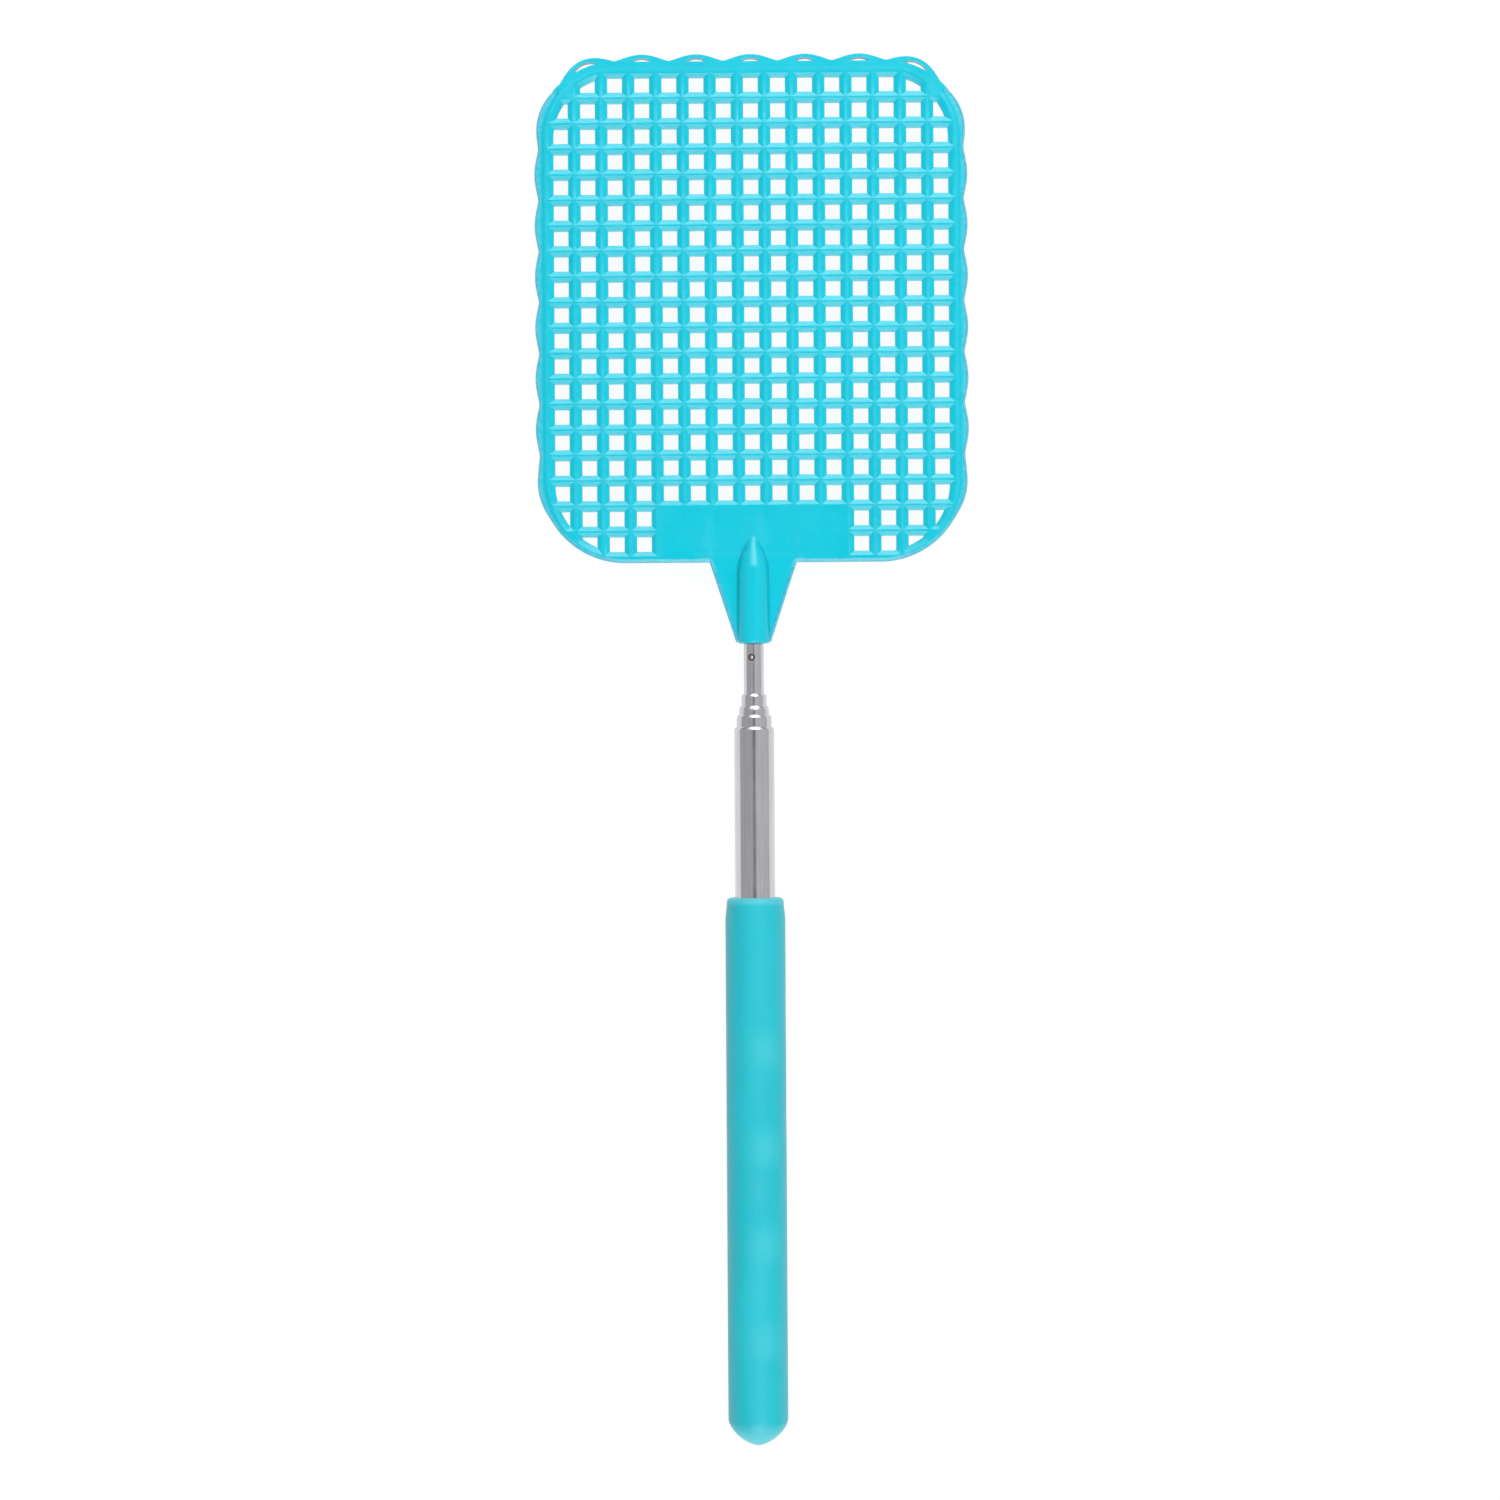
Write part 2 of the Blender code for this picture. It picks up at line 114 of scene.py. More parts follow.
FINGER_SHEEN_FRONT = (3.0, 5.6)  # it starts and is full at these heights over the axis
FINGER_SHEEN_SIDE = (-2.5, 2.0)  # and at these distances to the right of it
MOUTH_SHEEN = 1.6  # length of the painted highlight band at the mouth
NOSE_SHEEN = 5.0  # and of the painted highlight on the nose

# Head outline
HALF_WIDTH = 42.55
TOP = 137.7
FOOT = 37.5
TOP_CORNER = 15.3
LOW_CORNER = 17.0
OUTLINE = (HALF_WIDTH, TOP, FOOT, TOP_CORNER, LOW_CORNER)
TOP_LOBE = 1.3
CORNER_LOBE = 1.45
SHOULDER_LOBE = 0.6
SIDE_LOBE = 0.75
LAST_LOBE = 0.5
SIDE_LOBE_START = 120.3
SIDE_LOBES = 6
LAST_LOBE_ANGLE = math.radians(30.0)
LOBE_POWER = 1.2  # below 2, the scallops are round and the valleys narrow
OUTLINE_STEP = 0.45
EASE_OUT = 8.0  # length over which the grooved edge becomes plain
EASE_LEAD = 2.0  # its start before the last scallop's end

# Head section heights, above its middle plane
CROWN = 1.1
LAND = 0.15
GROOVE = 0.70
EDGE_DROP = 0.35
STRAND = 0.62  # width of the outer strand where it lies on the rim
TOP_STRAND = 0.70  # and at the crest of a slitted scallop
SIDE_STRAND = 0.45  # and at the crest of a closed one
STRAND_SPREAD = 1.6
STRAND_SHARES = (0.05, 0.25, 0.5, 0.83, 1.0)  # places across the strand
SLIT_EDGE = -0.1
SLIT_LOBE = 1.0  # scallops higher than this are open
SLIT_WIDTH = 0.03  # slits narrower than this are closed
LEDGE = 0.02  # width of the groove's wall beside the strand
EDGE_WIDTH = 1.5  # reach of the grooved edge
SLOPE_PLACES = (-EDGE_WIDTH, -1.3, -1.05, -0.8)  # places across the slope from crown to groove
EDGE_HEIGHTS = (CROWN, 1.02, 0.90, 0.78, GROOVE, GROOVE, 0.74, 0.84, 0.78, 0.50, LAND)
EDGE_POINTS = len(EDGE_HEIGHTS)
LEDGE_LINE = len(SLOPE_PLACES)  # number of the line at the groove's inner side
FOOT_EDGE = 1.0  # reach of the rounded edge

# Grid
PITCH_X = 5.43
PITCH_Y = 5.10
COLUMNS = 7
ROWS = 19
TOP_ROW_Y = 133.0
HOLE_HALF_X = 1.47
HOLE_HALF_Y = 1.46
BAR_HALF_X = 0.5 * PITCH_X - HOLE_HALF_X
BAR_HALF_Y = 0.5 * PITCH_Y - HOLE_HALF_Y
RIM = 3.1
LOW_RIM = 2.0
RIM_SLOPE = 1.35
PLATE_ROWS = 2
PLATE_COLUMNS = 3
PLATE_HALF = (PLATE_COLUMNS + 0.5) * PITCH_X
PLATE_TOP = TOP_ROW_Y - (ROWS - PLATE_ROWS - 0.5) * PITCH_Y
SMALLEST_HOLE = 0.3  # cells with less than this share of a hole are solid
SHEEN_LINE_WIDTH = 0.45  # width of the painted highlight lines
EDGE_SHEEN = 0.45  # and of the painted highlight along the outer edge
LIP_SHEEN = 0.18  # share of painted highlight on the rim's inner line
RIDGE_SHEEN = 0.20  # the same for the upright bars' ridges
PLATE_SHEEN = 0.06  # and for the plate
ARC_STEPS = 24
BAR_EDGE = 0.52  # height of a bar's edges
RIDGE = 0.30  # roundness of the bars' ridges
RING_SHARES = (0.0, 0.3, 0.55, 0.72, 0.84, 0.93, 1.0)
PLATE_FLOOR = 0.93
PLATE_EASE = 1.7  # reach of the slopes into the plate, in half bar widths
PLATE_LINES = (0.1, 0.22, 0.36, 0.52, 0.72, 0.95, 1.2, 1.45, 1.7, 2.1)  # mesh lines there
PLATE_LINE_STEP = 0.6
PLATE_LINE_FOOT = FOOT + 1.1 * FOOT_EDGE
PLAN_SNAP = 1e-3  # nearer points of the plan become one

# Neck
WEB_HALF_TOP = 8.7
WEB_HALF_FOOT = 3.5
NECK_FOOT = 21.6
SOCKET_FOOT = 21.3
WEB_STEPS = 16
WEB_CORNER = Vector((0.725, -1.0))  # way outwards where the rim's foot meets the web
WEB_FLOOR = 0.62
WEB_BEAD = 1.0 / WEB_FLOOR  # raised line along the web's edge
WEB_PLACES = (-0.95, -0.7, -0.52, -0.36, -0.2, -0.08, 0.0)
WEB_HEIGHTS = (1.0, 1.06, 0.8 * WEB_BEAD + 0.1, WEB_BEAD, 0.93 * WEB_BEAD, 0.75 * WEB_BEAD, 0.45 * WEB_BEAD)
WEB_START = (FOOT + 0.5, 2.5)  # where the raised line starts, and over what length
WEB_END = 0.3  # share of the height left at the web's foot
WEB_END_EASE = 0.6
NECK_HALF = 12.0  # the neck's half width
NECK_STEP = 0.75  # step of the mesh points round the socket
NECK_LEAD = (0.5, 0.9)  # their start, from the axis and from the rim's foot
RAMP_HALF = 2.6
RAMP_FOOT = 37.0
RAMP_EASE = 4.0
BESIDE_X = (9.6, 1.8)  # recess beside the socket: where it ends, and over what length
BESIDE_Y = (PLATE_TOP - 0.6, 3.5)
BELOW_X = (11.5, 2.0)  # and below the plate
BELOW_Y = (39.2, 1.7)
SOCKET_RADIUS = 3.3
SOCKET_SHOULDER = 35.5
SOCKET_NOSE = 43.8
SOCKET_EDGE = 0.5
SOCKET_EDGE_TOP = 21.9
NOSE_BLUNT = 1.8
SOCKET_STEPS = (6, 9, 14)  # mesh rows along the foot's edge, the body and the nose
SPOKE_STEP = 7  # degrees between the mesh lines along the socket
SOCKET_SIDE = 84  # degrees from its crown to the head's middle plane
FILLET = 0.3
FILLET_LINES = (0.12, 0.35, 0.8)  # mesh lines beside the socket
FILLET_LEAD = 0.1  # their start above the web's foot
FILLET_GAP = (3.6, 0.5)  # how far other points stay off, sideways and beyond the nose
MOUTH_RADIUS = 2.2
BORE = ((2.06, 21.45), (2.06, 23.2), (1.56, 23.2), (1.56, 36.6))

# Colours: dark and light end of each base, then what lies on it
PLASTIC = ((0.000, 0.382, 0.478), (0.000, 0.400, 0.500))
PLASTIC_MOTTLE = (0.001, 0.414, 0.512)
# lighter, redder turquoise painted on the head as highlight
PLASTIC_SHEEN = (0.200, 0.395, 0.520)
RUBBER = ((0.000, 0.338, 0.404), (0.000, 0.360, 0.426))
RUBBER_SPECKLE = (0.020, 0.385, 0.450)
# lighter turquoise painted as highlight on the finger swells
FINGER_SHEEN = (0.045, 0.415, 0.480)
# lighter turquoise: painted highlight at the grip's mouth and nose, and the colour of its worn edges
END_WEAR_AND_SHEEN = (0.090, 0.460, 0.520)
STEEL = ((0.52, 0.51, 0.54), (0.66, 0.65, 0.68))
PLATED = ((0.42, 0.38, 0.33), (0.56, 0.52, 0.47))
# near-black painted shade for the groove round the pin
PAINTED_PIN_SHADE = ((0.05, 0.035, 0.028), (0.14, 0.10, 0.08))
BRONZE = ((0.50, 0.30, 0.12), (0.66, 0.43, 0.20))
METAL_WEAR = 1.12  # how much lighter a metal is on its edges
PLUG_BLACK = (0.020, 0.020, 0.022)
PLUG_GRAIN = 2.2  # how much lighter its grain is
PLUG_WEAR = 5.0  # and its worn edges

# Light: colour and radiance of the room, and what each softbox adds to it
ROOM_COLOUR = (0.96, 0.98, 1.0, 1.0)
ROOM = 0.21
SIDE_LEFT = 0.31
SIDE_RIGHT = 0.46
SIDE_LENGTH = 1.6
SLOT_LEFT = -0.16  # inner edges of the side softboxes
SLOT_RIGHT = 0.11
SIDE_REACH = 1.60  # their outer edges
SIDE_HEIGHTS = (1.0, 0.10)  # heights of the inner and the outer edge
END_SHIFT = 0.10  # the end softboxes stand a little to the right
END_REACH = (0.42, 1.50)  # distance of their inner and outer edge along Y
END_HEIGHTS = (1.0, 0.22)
LAYER_GAP = 0.006  # height between the layers at one end
END_LAYERS = ((1.6, 0.6, 0.6), (1.0, 1.4, 1.2), (0.5, 3.4, 2.6))  # width, radiance at head and at grip

# Camera and floor
LENS = 90.0
SENSOR = 36.0
CAMERA_SHIFT = -0.00087
CAMERA_HEIGHT = 0.75  # over the pole's axis
CAMERA_ROLL = math.radians(-0.35)
FLOOR_SIZE = 8.0
FLOOR_COLOUR = (0.08, 0.08, 0.08, 1.0)
FLOOR_GLOW = 0.92


# ---- meshes

def add_object(name, data):
    """A new object in the scene."""
    obj = bpy.data.objects.new(name, data)
    bpy.context.scene.collection.objects.link(obj)
    return obj


def to_object(name, points, faces, mat):
    """A smooth-shaded object from points in millimetres, measured from the pole's axis."""
    mesh = bpy.data.meshes.new(name)
    placed = (np.asarray(points, float) + (0.0, 0.0, AXIS_Z)) * MM
    mesh.from_pydata(placed.tolist(), [], faces)
    mesh.validate()
    mesh.shade_smooth()
    mesh.set_sharp_from_angle(angle=SHARP_ANGLE)
    mesh.materials.append(mat)
    return add_object(name, mesh)


def smooth_step(value):
    """0 below 0, 1 above 1, and an even S between."""
    value = np.clip(value, 0.0, 1.0)
    return value * value * (3.0 - 2.0 * value)


def band(low, high):
    """Faces between two rings of points, each given as a list of their numbers."""
    return list(zip(low, low[1:] + low[:1], high[1:] + high[:1], high))


def lathe(name, profile, mat, shape=None):
    """Turn a closed (radius, y) profile about the pole's axis; shape may move each ring's radii."""
    angles = TURN * np.arange(LATHE_SIDES) / LATHE_SIDES
    points = []
    for radius, y in profile:
        radii = np.full(LATHE_SIDES, float(radius))
        if shape is not None:
            radii = shape(radii, y, angles)
        points += [(r * math.sin(a), y, r * math.cos(a)) for r, a in zip(radii, angles)]
    rings = [list(range(k, k + LATHE_SIDES)) for k in range(0, len(points), LATHE_SIDES)]
    faces = []
    for low, high in zip(rings, rings[1:] + rings[:1]):
        faces += band(low, high)
    obj = to_object(name, points, faces, mat)
    tidy(obj)
    return obj


def tidy(obj):
    """Weld doubled points, such as those on the axis, and turn every face outwards."""
    bm = bmesh.new()
    bm.from_mesh(obj.data)
    bmesh.ops.remove_doubles(bm, verts=bm.verts, dist=WELD)
    bmesh.ops.dissolve_degenerate(bm, edges=bm.edges, dist=WELD)
    bmesh.ops.recalc_face_normals(bm, faces=bm.faces)
    bm.to_mesh(obj.data)
    bm.free()
    obj.data.set_sharp_from_angle(angle=SHARP_ANGLE)


# ---- pole

def roll(radius, top, height, draw):
    """Rounded shoulder from a section's wall up to its rim."""
    points = []
    for step in range(LIP_STEPS + 1):
        angle = QUARTER * step / LIP_STEPS
        points.append((radius - draw + draw * math.cos(angle), top - height + height * math.sin(angle)))
    return points


def section_profile(index):
    """Closed profile of one tube, anticlockwise from its inner foot."""
    radius = OUTER_RADIUS - index * RADIUS_STEP
    inner = radius - WALL
    top = SECTION_TOPS[index]
    profile = [(inner, OUTER_FOOT), (radius, OUTER_FOOT)]
    if index > 0:
        proud = radius + BEAD_HEIGHT
        foot = INNER_FOOT
        profile = [
            (inner, foot), (proud - FLARE_LEAD, foot), (proud, foot + BEAD_EASE),
            (proud, foot + FLARE_LENGTH - BEAD_EASE), (radius, foot + FLARE_LENGTH),
            (radius, foot + BEAD_START), (proud, foot + BEAD_START + BEAD_EASE),
            (proud, foot + BEAD_END - BEAD_EASE), (radius, foot + BEAD_END),
        ]
    if index == SECTIONS - 1:
        low = PIN_Y - PIN_BAND
        high = PIN_Y + PIN_BAND
        profile += [(radius, low), (radius, high), (radius, top - WALL), (radius - 0.5 * WALL, top)]
        return profile + [(inner, top), (inner, high), (inner, low)]
    lip = inner - 0.5 * RADIUS_STEP + LIP_CLEARANCE
    profile += roll(radius, top, LIP_HEIGHTS[index], LIP_ROLL)
    return profile + [(lip, top - LIP_EDGE), (lip, top - LIP_LENGTH), (inner, top - LIP_DEPTH)]


def peg(name, rings, mat):
    """A round peg across the pole at the pin's place, from (radius, distance from the axis) rings."""
    points = []
    for ring_radius, height in rings:
        for k in range(PEG_SIDES):
            angle = TURN * k / PEG_SIDES
            points.append((ring_radius * math.cos(angle), ring_radius * math.sin(angle), height))
    loops = [list(range(k, k + PEG_SIDES)) for k in range(0, len(points), PEG_SIDES)]
    faces = [loops[0][::-1], loops[-1]]
    for low, high in zip(loops, loops[1:]):
        faces += band(low, high)
    turn = Matrix.Rotation(-PIN_TILT, 3, "Y")
    placed = [turn @ Vector(point) + Vector((0.0, PIN_Y, 0.0)) for point in points]
    return to_object(name, placed, faces, mat)


def build_pin():
    """The pin's low dome, with painted shade on the groove round it."""
    pin = peg("swatter_tip_pin", PIN_PROFILE, steel_pin)
    pin.data.materials.append(painted_pin_shade)
    turn = Matrix.Rotation(PIN_TILT, 3, "Y")
    # faces outside the dome get the painted shade
    for polygon in pin.data.polygons:
        spot = turn @ (polygon.center / MM - Vector((0.0, PIN_Y, AXIS_Z)))
        if math.hypot(spot.x, spot.y) > PIN_DOME:
            polygon.material_index = 1
    return pin


def pierce(obj):
    """Cut the pin's hole through one wall of the thinnest section."""
    tool = peg("hole_tool", PIN_HOLE, steel)
    modifier = obj.modifiers.new("hole", "BOOLEAN")
    modifier.operation = "DIFFERENCE"
    modifier.solver = "EXACT"
    modifier.object = tool
    bpy.context.view_layer.update()
    cut = obj.evaluated_get(bpy.context.evaluated_depsgraph_get())
    mesh = bpy.data.meshes.new_from_object(cut)
    obj.modifiers.clear()
    obj.data = mesh
    obj.data.materials.clear()
    obj.data.materials.append(steel)
    obj.data.set_sharp_from_angle(angle=SHARP_ANGLE)
    bpy.data.objects.remove(tool, do_unlink=True)


def build_pole():
    """The five tubes, each riding on its own body."""
    bodies = ("handle", "section_2", "section_3", "section_4", "head")
    for index, body in enumerate(bodies):
        tube = lathe(f"swatter_tube_{index + 1}", section_profile(index), steel)
        if index == SECTIONS - 1:
            pierce(tube)
        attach(tube, body)
        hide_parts(f"pole_section_{index + 1}")
    pin = build_pin()
    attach(pin, "head")
    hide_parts("tip_pin")


# ---- grip

def finger_swell(radii, y, angles):
    """Shallow finger hollows along the front of the grip."""
    start = FINGER_CREST + FINGER_PITCH
    end = start - FINGER_WAVES * FINGER_PITCH
    if not end < y < start:
        return radii
    wave = 0.5 + 0.5 * math.cos(TURN * (y - FINGER_CREST) / FINGER_PITCH)
    front = np.clip(np.cos(angles - FINGER_TURN), 0.0, 1.0) ** 2
    return radii - FINGER_DEPTH * (1.0 - wave) * front * (radii > GRIP_SKIN)


def grip_profile():
    """Closed profile of the grip, from the blind bore's foot round its mouth to the nose."""
    profile = [(0.0, GRIP_BORE_FOOT), (GRIP_BORE, GRIP_BORE_FOOT), (GRIP_BORE, GRIP_TOP - BORE_EDGE)]
    profile.append((GRIP_BORE + BORE_EDGE, GRIP_TOP))
    for step in range(GRIP_EDGE_STEPS + 1):
        angle = QUARTER * step / GRIP_EDGE_STEPS
        profile.append((
            GRIP_MOUTH_RADIUS - GRIP_EDGE * (1.0 - math.sin(angle)),
            GRIP_TOP - GRIP_EDGE * (1.0 - math.cos(angle)),
        ))
    for share in SWELL_SHARES:
        swell = 0.5 - 0.5 * math.cos(math.pi * share)
        profile.append((
            GRIP_MOUTH_RADIUS + (GRIP_RADIUS - GRIP_MOUTH_RADIUS) * swell,
            GRIP_TOP - GRIP_EDGE - (GRIP_SWELL - GRIP_EDGE) * share,
        ))
    start = GRIP_TOP - GRIP_SWELL
    rings = round((start - GRIP_NOSE_START) / GRIP_RING_STEP)
    for ring in range(1, rings + 1):
        profile.append((GRIP_RADIUS, start + (GRIP_NOSE_START - start) * ring / rings))
    length = GRIP_NOSE_START - GRIP_END
    for step in range(1, NOSE_STEPS):
        along = math.sin(QUARTER * step / NOSE_STEPS)
        radius = GRIP_RADIUS * (1.0 - along ** NOSE_POWER) ** (1.0 / NOSE_POWER)
        profile.append((radius, GRIP_NOSE_START - length * along))
    profile.append((0.0, GRIP_END))
    return profile


def build_grip():
    """The soft sleeve."""
    grip = lathe("swatter_grip", grip_profile(), grip_rubber, shape=finger_swell)
    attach(grip, "handle")
    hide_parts("grip_sleeve")


# ---- head outline

def rounded_box(x, y, half, top, foot, top_radius, low_radius):
    """Distance outside a rounded rectangle, and travel along its right edge from the top middle."""
    top_x = half - top_radius
    top_y = top - top_radius
    low_x = half - low_radius
    low_y = foot + low_radius
    side_start = top_x + top_radius * QUARTER
    foot_start = side_start + top_y - low_y + low_radius * QUARTER
    flats = np.stack([y - top, x - half, foot - y])
    travels = np.stack([x, side_start + top_y - y, foot_start + low_x - x])
    which = flats.argmax(axis=0)
    distance = flats.max(axis=0)
    travel = np.take_along_axis(travels, which[None], axis=0)[0]
    for centre_x, centre_y, radius, upper in (
        (top_x, top_y, top_radius, True), (low_x, low_y, low_radius, False),
    ):
        dx = x - centre_x
        dy = y - centre_y
        corner = (dx > 0.0) & ((dy > 0.0) if upper else (dy < 0.0))
        angle = np.arctan2(dy, dx)
        start = top_x + radius * QUARTER if upper else foot_start - radius * QUARTER
        distance = np.where(corner, np.hypot(dx, dy) - radius, distance)
        travel = np.where(corner, start - radius * angle, travel)
    return distance, travel


def outline_point(travel):
    """Point on the plain outline and its outward normal, at a travel from the top middle."""
    top_centre = Vector((HALF_WIDTH - TOP_CORNER, TOP - TOP_CORNER))
    low_centre = Vector((HALF_WIDTH - LOW_CORNER, FOOT + LOW_CORNER))
    if travel <= top_centre.x:
        return Vector((travel, TOP)), Vector((0.0, 1.0))
    travel -= top_centre.x
    if travel <= TOP_CORNER * QUARTER:
        angle = QUARTER - travel / TOP_CORNER
        normal = Vector((math.cos(angle), math.sin(angle)))
        return top_centre + TOP_CORNER * normal, normal
    travel -= TOP_CORNER * QUARTER
    if travel <= top_centre.y - low_centre.y:
        return Vector((HALF_WIDTH, top_centre.y - travel)), Vector((1.0, 0.0))
    travel -= top_centre.y - low_centre.y
    if travel <= LOW_CORNER * QUARTER:
        angle = -travel / LOW_CORNER
        normal = Vector((math.cos(angle), math.sin(angle)))
        return low_centre + LOW_CORNER * normal, normal
    travel -= LOW_CORNER * QUARTER
    return Vector((low_centre.x - travel, FOOT)), Vector((0.0, -1.0))


def lobes():
    """Scallops down the right-hand side, as (start, end, height) along the outline."""
    straight = HALF_WIDTH - TOP_CORNER
    corner = TOP_CORNER * QUARTER
    side_start = straight + corner
    spans = [(PITCH_X * (2 * k - 1), PITCH_X * (2 * k + 1), TOP_LOBE) for k in range(3)]
    shoulder = straight + 0.5 * corner
    first_valley = side_start + TOP - TOP_CORNER - SIDE_LOBE_START
    spans.append((spans[-1][1], shoulder, CORNER_LOBE))
    spans.append((shoulder, first_valley, SHOULDER_LOBE))
    for k in range(SIDE_LOBES):
        valley = first_valley + 2.0 * PITCH_Y * k
        spans.append((valley, valley + 2.0 * PITCH_Y, SIDE_LOBE))
    side_end = side_start + TOP - TOP_CORNER - FOOT - LOW_CORNER
    spans.append((spans[-1][1], side_end + LOW_CORNER * LAST_LOBE_ANGLE, LAST_LOBE))
    return np.array(spans)


LOBES = lobes()
LOBES_END = LOBES[-1, 1]
FOOT_START = rounded_box(np.array([HALF_WIDTH - LOW_CORNER]), np.array([FOOT]), *OUTLINE)[1][0]


def scallop(travel):
    """Height of the scalloped edge over the plain outline, and the height of that scallop's crest."""
    index = np.clip(np.searchsorted(LOBES[:, 0], travel, side="right") - 1, 0, len(LOBES) - 1)
    start, end, crest = LOBES[index].T
    phase = np.clip((travel - start) / (end - start), 0.0, 1.0)
    return crest * np.maximum(np.sin(math.pi * phase), 0.0) ** LOBE_POWER, crest


def grooved_edge(travel):
    """Outward distances and heights of the rim's edge where a raised strand runs along it."""
    rise, crest = scallop(travel)
    share = rise / crest
    slitted = crest > SLIT_LOBE
    strand = STRAND + (np.where(slitted, TOP_STRAND, SIDE_STRAND) - STRAND) * share
    strand = strand + np.where(slitted, STRAND_SPREAD * (1.0 - share), 0.0)
    inner = np.maximum(rise - strand, -STRAND)
    ledge = np.where(slitted & (inner > SLIT_EDGE + LEDGE), SLIT_EDGE, inner - LEDGE)
    width = rise - inner
    still = np.ones_like(travel)
    places = [place * still for place in SLOPE_PLACES] + [ledge, inner]
    places += [inner + width * share_out for share_out in STRAND_SHARES]
    return np.array(places), np.outer(EDGE_HEIGHTS, still)


def plain_edge(travel):
    """Outward distances and heights of the rim's rounded edge round the foot."""
    angles = QUARTER * np.arange(EDGE_POINTS) / (EDGE_POINTS - 1.0)
    still = np.ones_like(travel)
    places = np.outer(-FOOT_EDGE + FOOT_EDGE * np.sin(angles), still)
    heights = np.outer(EDGE_DROP + (CROWN - EDGE_DROP) * np.cos(angles), still)
    return places, heights


def edge_section(travel):
    """Outward distances and heights of the rim's edge, EDGE_POINTS of each."""
    plain = smooth_step((travel - LOBES_END + EASE_LEAD) / EASE_OUT)
    grooved_places, grooved_heights = grooved_edge(travel)
    plain_places, plain_heights = plain_edge(travel)
    places = grooved_places * (1.0 - plain) + plain_places * plain
    heights = grooved_heights * (1.0 - plain) + plain_heights * plain
    return places, heights


def along_section(distance, places, heights):
    """Height at each distance on a section that may differ from point to point."""
    height = heights[0].copy()
    for k in range(len(places) - 1):
        share = (distance - places[k]) / np.maximum(places[k + 1] - places[k], 1e-6)
        height = np.where(distance > places[k],
                          heights[k] + (heights[k + 1] - heights[k]) * np.clip(share, 0.0, 1.0), height)
    return height


# ---- head grid

def corner_points(x, y, radius, start):
    """Points round a quarter of a circle."""
    angles = start + QUARTER * np.arange(ARC_STEPS + 1) / ARC_STEPS
    return [Vector((x + radius * math.cos(a), y + radius * math.sin(a))) for a in angles]


def rim_inside(out):
    """Inner edge of the rim, moved outwards by a distance, as a rounded box."""
    corners = (TOP_CORNER - RIM + out, LOW_CORNER - RIM + out)
    return HALF_WIDTH - RIM + out, TOP - RIM + out, FOOT + LOW_RIM - out, *corners


def hole_limit(out):
    """The same edge as a loop of points."""
    half, top, foot, top_radius, low_radius = rim_inside(out)
    high = top - top_radius
    low = foot + low_radius
    corners = (
        (half - top_radius, high, top_radius), (top_radius - half, high, top_radius),
        (low_radius - half, low, low_radius), (half - low_radius, low, low_radius),
    )
    return [p for turn, corner in enumerate(corners) for p in corner_points(*corner, turn * QUARTER)]


def clip(polygon, limit):
    """Part of a convex polygon inside an anticlockwise convex loop."""
    for a, b in zip(limit, limit[1:] + limit[:1]):
        edge = b - a
        if all(edge.cross(p - a) >= 0.0 for p in polygon):
            continue
        kept = []
        for p, q in zip(polygon, polygon[1:] + polygon[:1]):
            side_p = edge.cross(p - a)
            side_q = edge.cross(q - a)
            if side_p >= 0.0:
                kept.append(p)
            if side_p * side_q < 0.0:
                kept.append(p + (q - p) * (side_p / (side_p - side_q)))
        polygon = kept
    return polygon


def area(polygon):
    """Area of a polygon."""
    return abs(sum(p.cross(q) for p, q in zip(polygon, polygon[1:] + polygon[:1]))) / 2.0


def cell_ring(row, column, share, limit):
    """Outline round a hole at a share of the way from its edge to the bars' ridges."""
    x = column * PITCH_X
    y = TOP_ROW_Y - row * PITCH_Y
    half_x = HOLE_HALF_X + share * BAR_HALF_X
    half_y = HOLE_HALF_Y + share * BAR_HALF_Y
    corners = ((-1, -1), (1, -1), (1, 1), (-1, 1))
    return clip([Vector((x + sx * half_x, y + sy * half_y)) for sx, sy in corners], limit)


def open_cells():
    """The rows and columns of the cells that have a hole."""
    limit = hole_limit(0.0)
    full = 4.0 * HOLE_HALF_X * HOLE_HALF_Y
    cells = []
    for row in range(ROWS):
        for column in range(-COLUMNS, COLUMNS + 1):
            hole = cell_ring(row, column, 0.0, limit)
            in_plate = row >= ROWS - PLATE_ROWS and abs(column) <= PLATE_COLUMNS
            if not in_plate and len(hole) > 2 and area(hole) > SMALLEST_HOLE * full:
                cells.append((row, column))
    return cells


OPEN_CELLS = open_cells()
OPEN_MASK = np.array([[(j, k) in OPEN_CELLS for k in range(COLUMNS + 1)] for j in range(ROWS)])


# ---- head heights

def bar_height(share):
    """Height of a roof-shaped bar from its edge, at 0, to its rounded ridge, at 1."""
    share = np.clip(share, 0.0, 1.0)
    full = math.hypot(1.0, RIDGE)
    return BAR_EDGE + (CROWN - BAR_EDGE) * (full - np.hypot(1.0 - share, RIDGE)) / (full - RIDGE)


def grid_height(x, y):
    """Height of the bars and of the rim's flat crown."""
    column = np.rint(x / PITCH_X).astype(int)
    row = np.rint((TOP_ROW_Y - y) / PITCH_Y).astype(int)
    known = (column <= COLUMNS) & (row >= 0) & (row < ROWS)
    is_open = known & OPEN_MASK[np.clip(row, 0, ROWS - 1), np.clip(column, 0, COLUMNS)]
    across = (np.abs(x - column * PITCH_X) - HOLE_HALF_X) / BAR_HALF_X
    along = (np.abs(y - TOP_ROW_Y + row * PITCH_Y) - HOLE_HALF_Y) / BAR_HALF_Y
    inside, _ = rounded_box(x, y, *rim_inside(0.0))
    share = np.maximum(np.maximum(across, along), inside / RIM_SLOPE)
    return np.where(is_open, bar_height(share), CROWN)


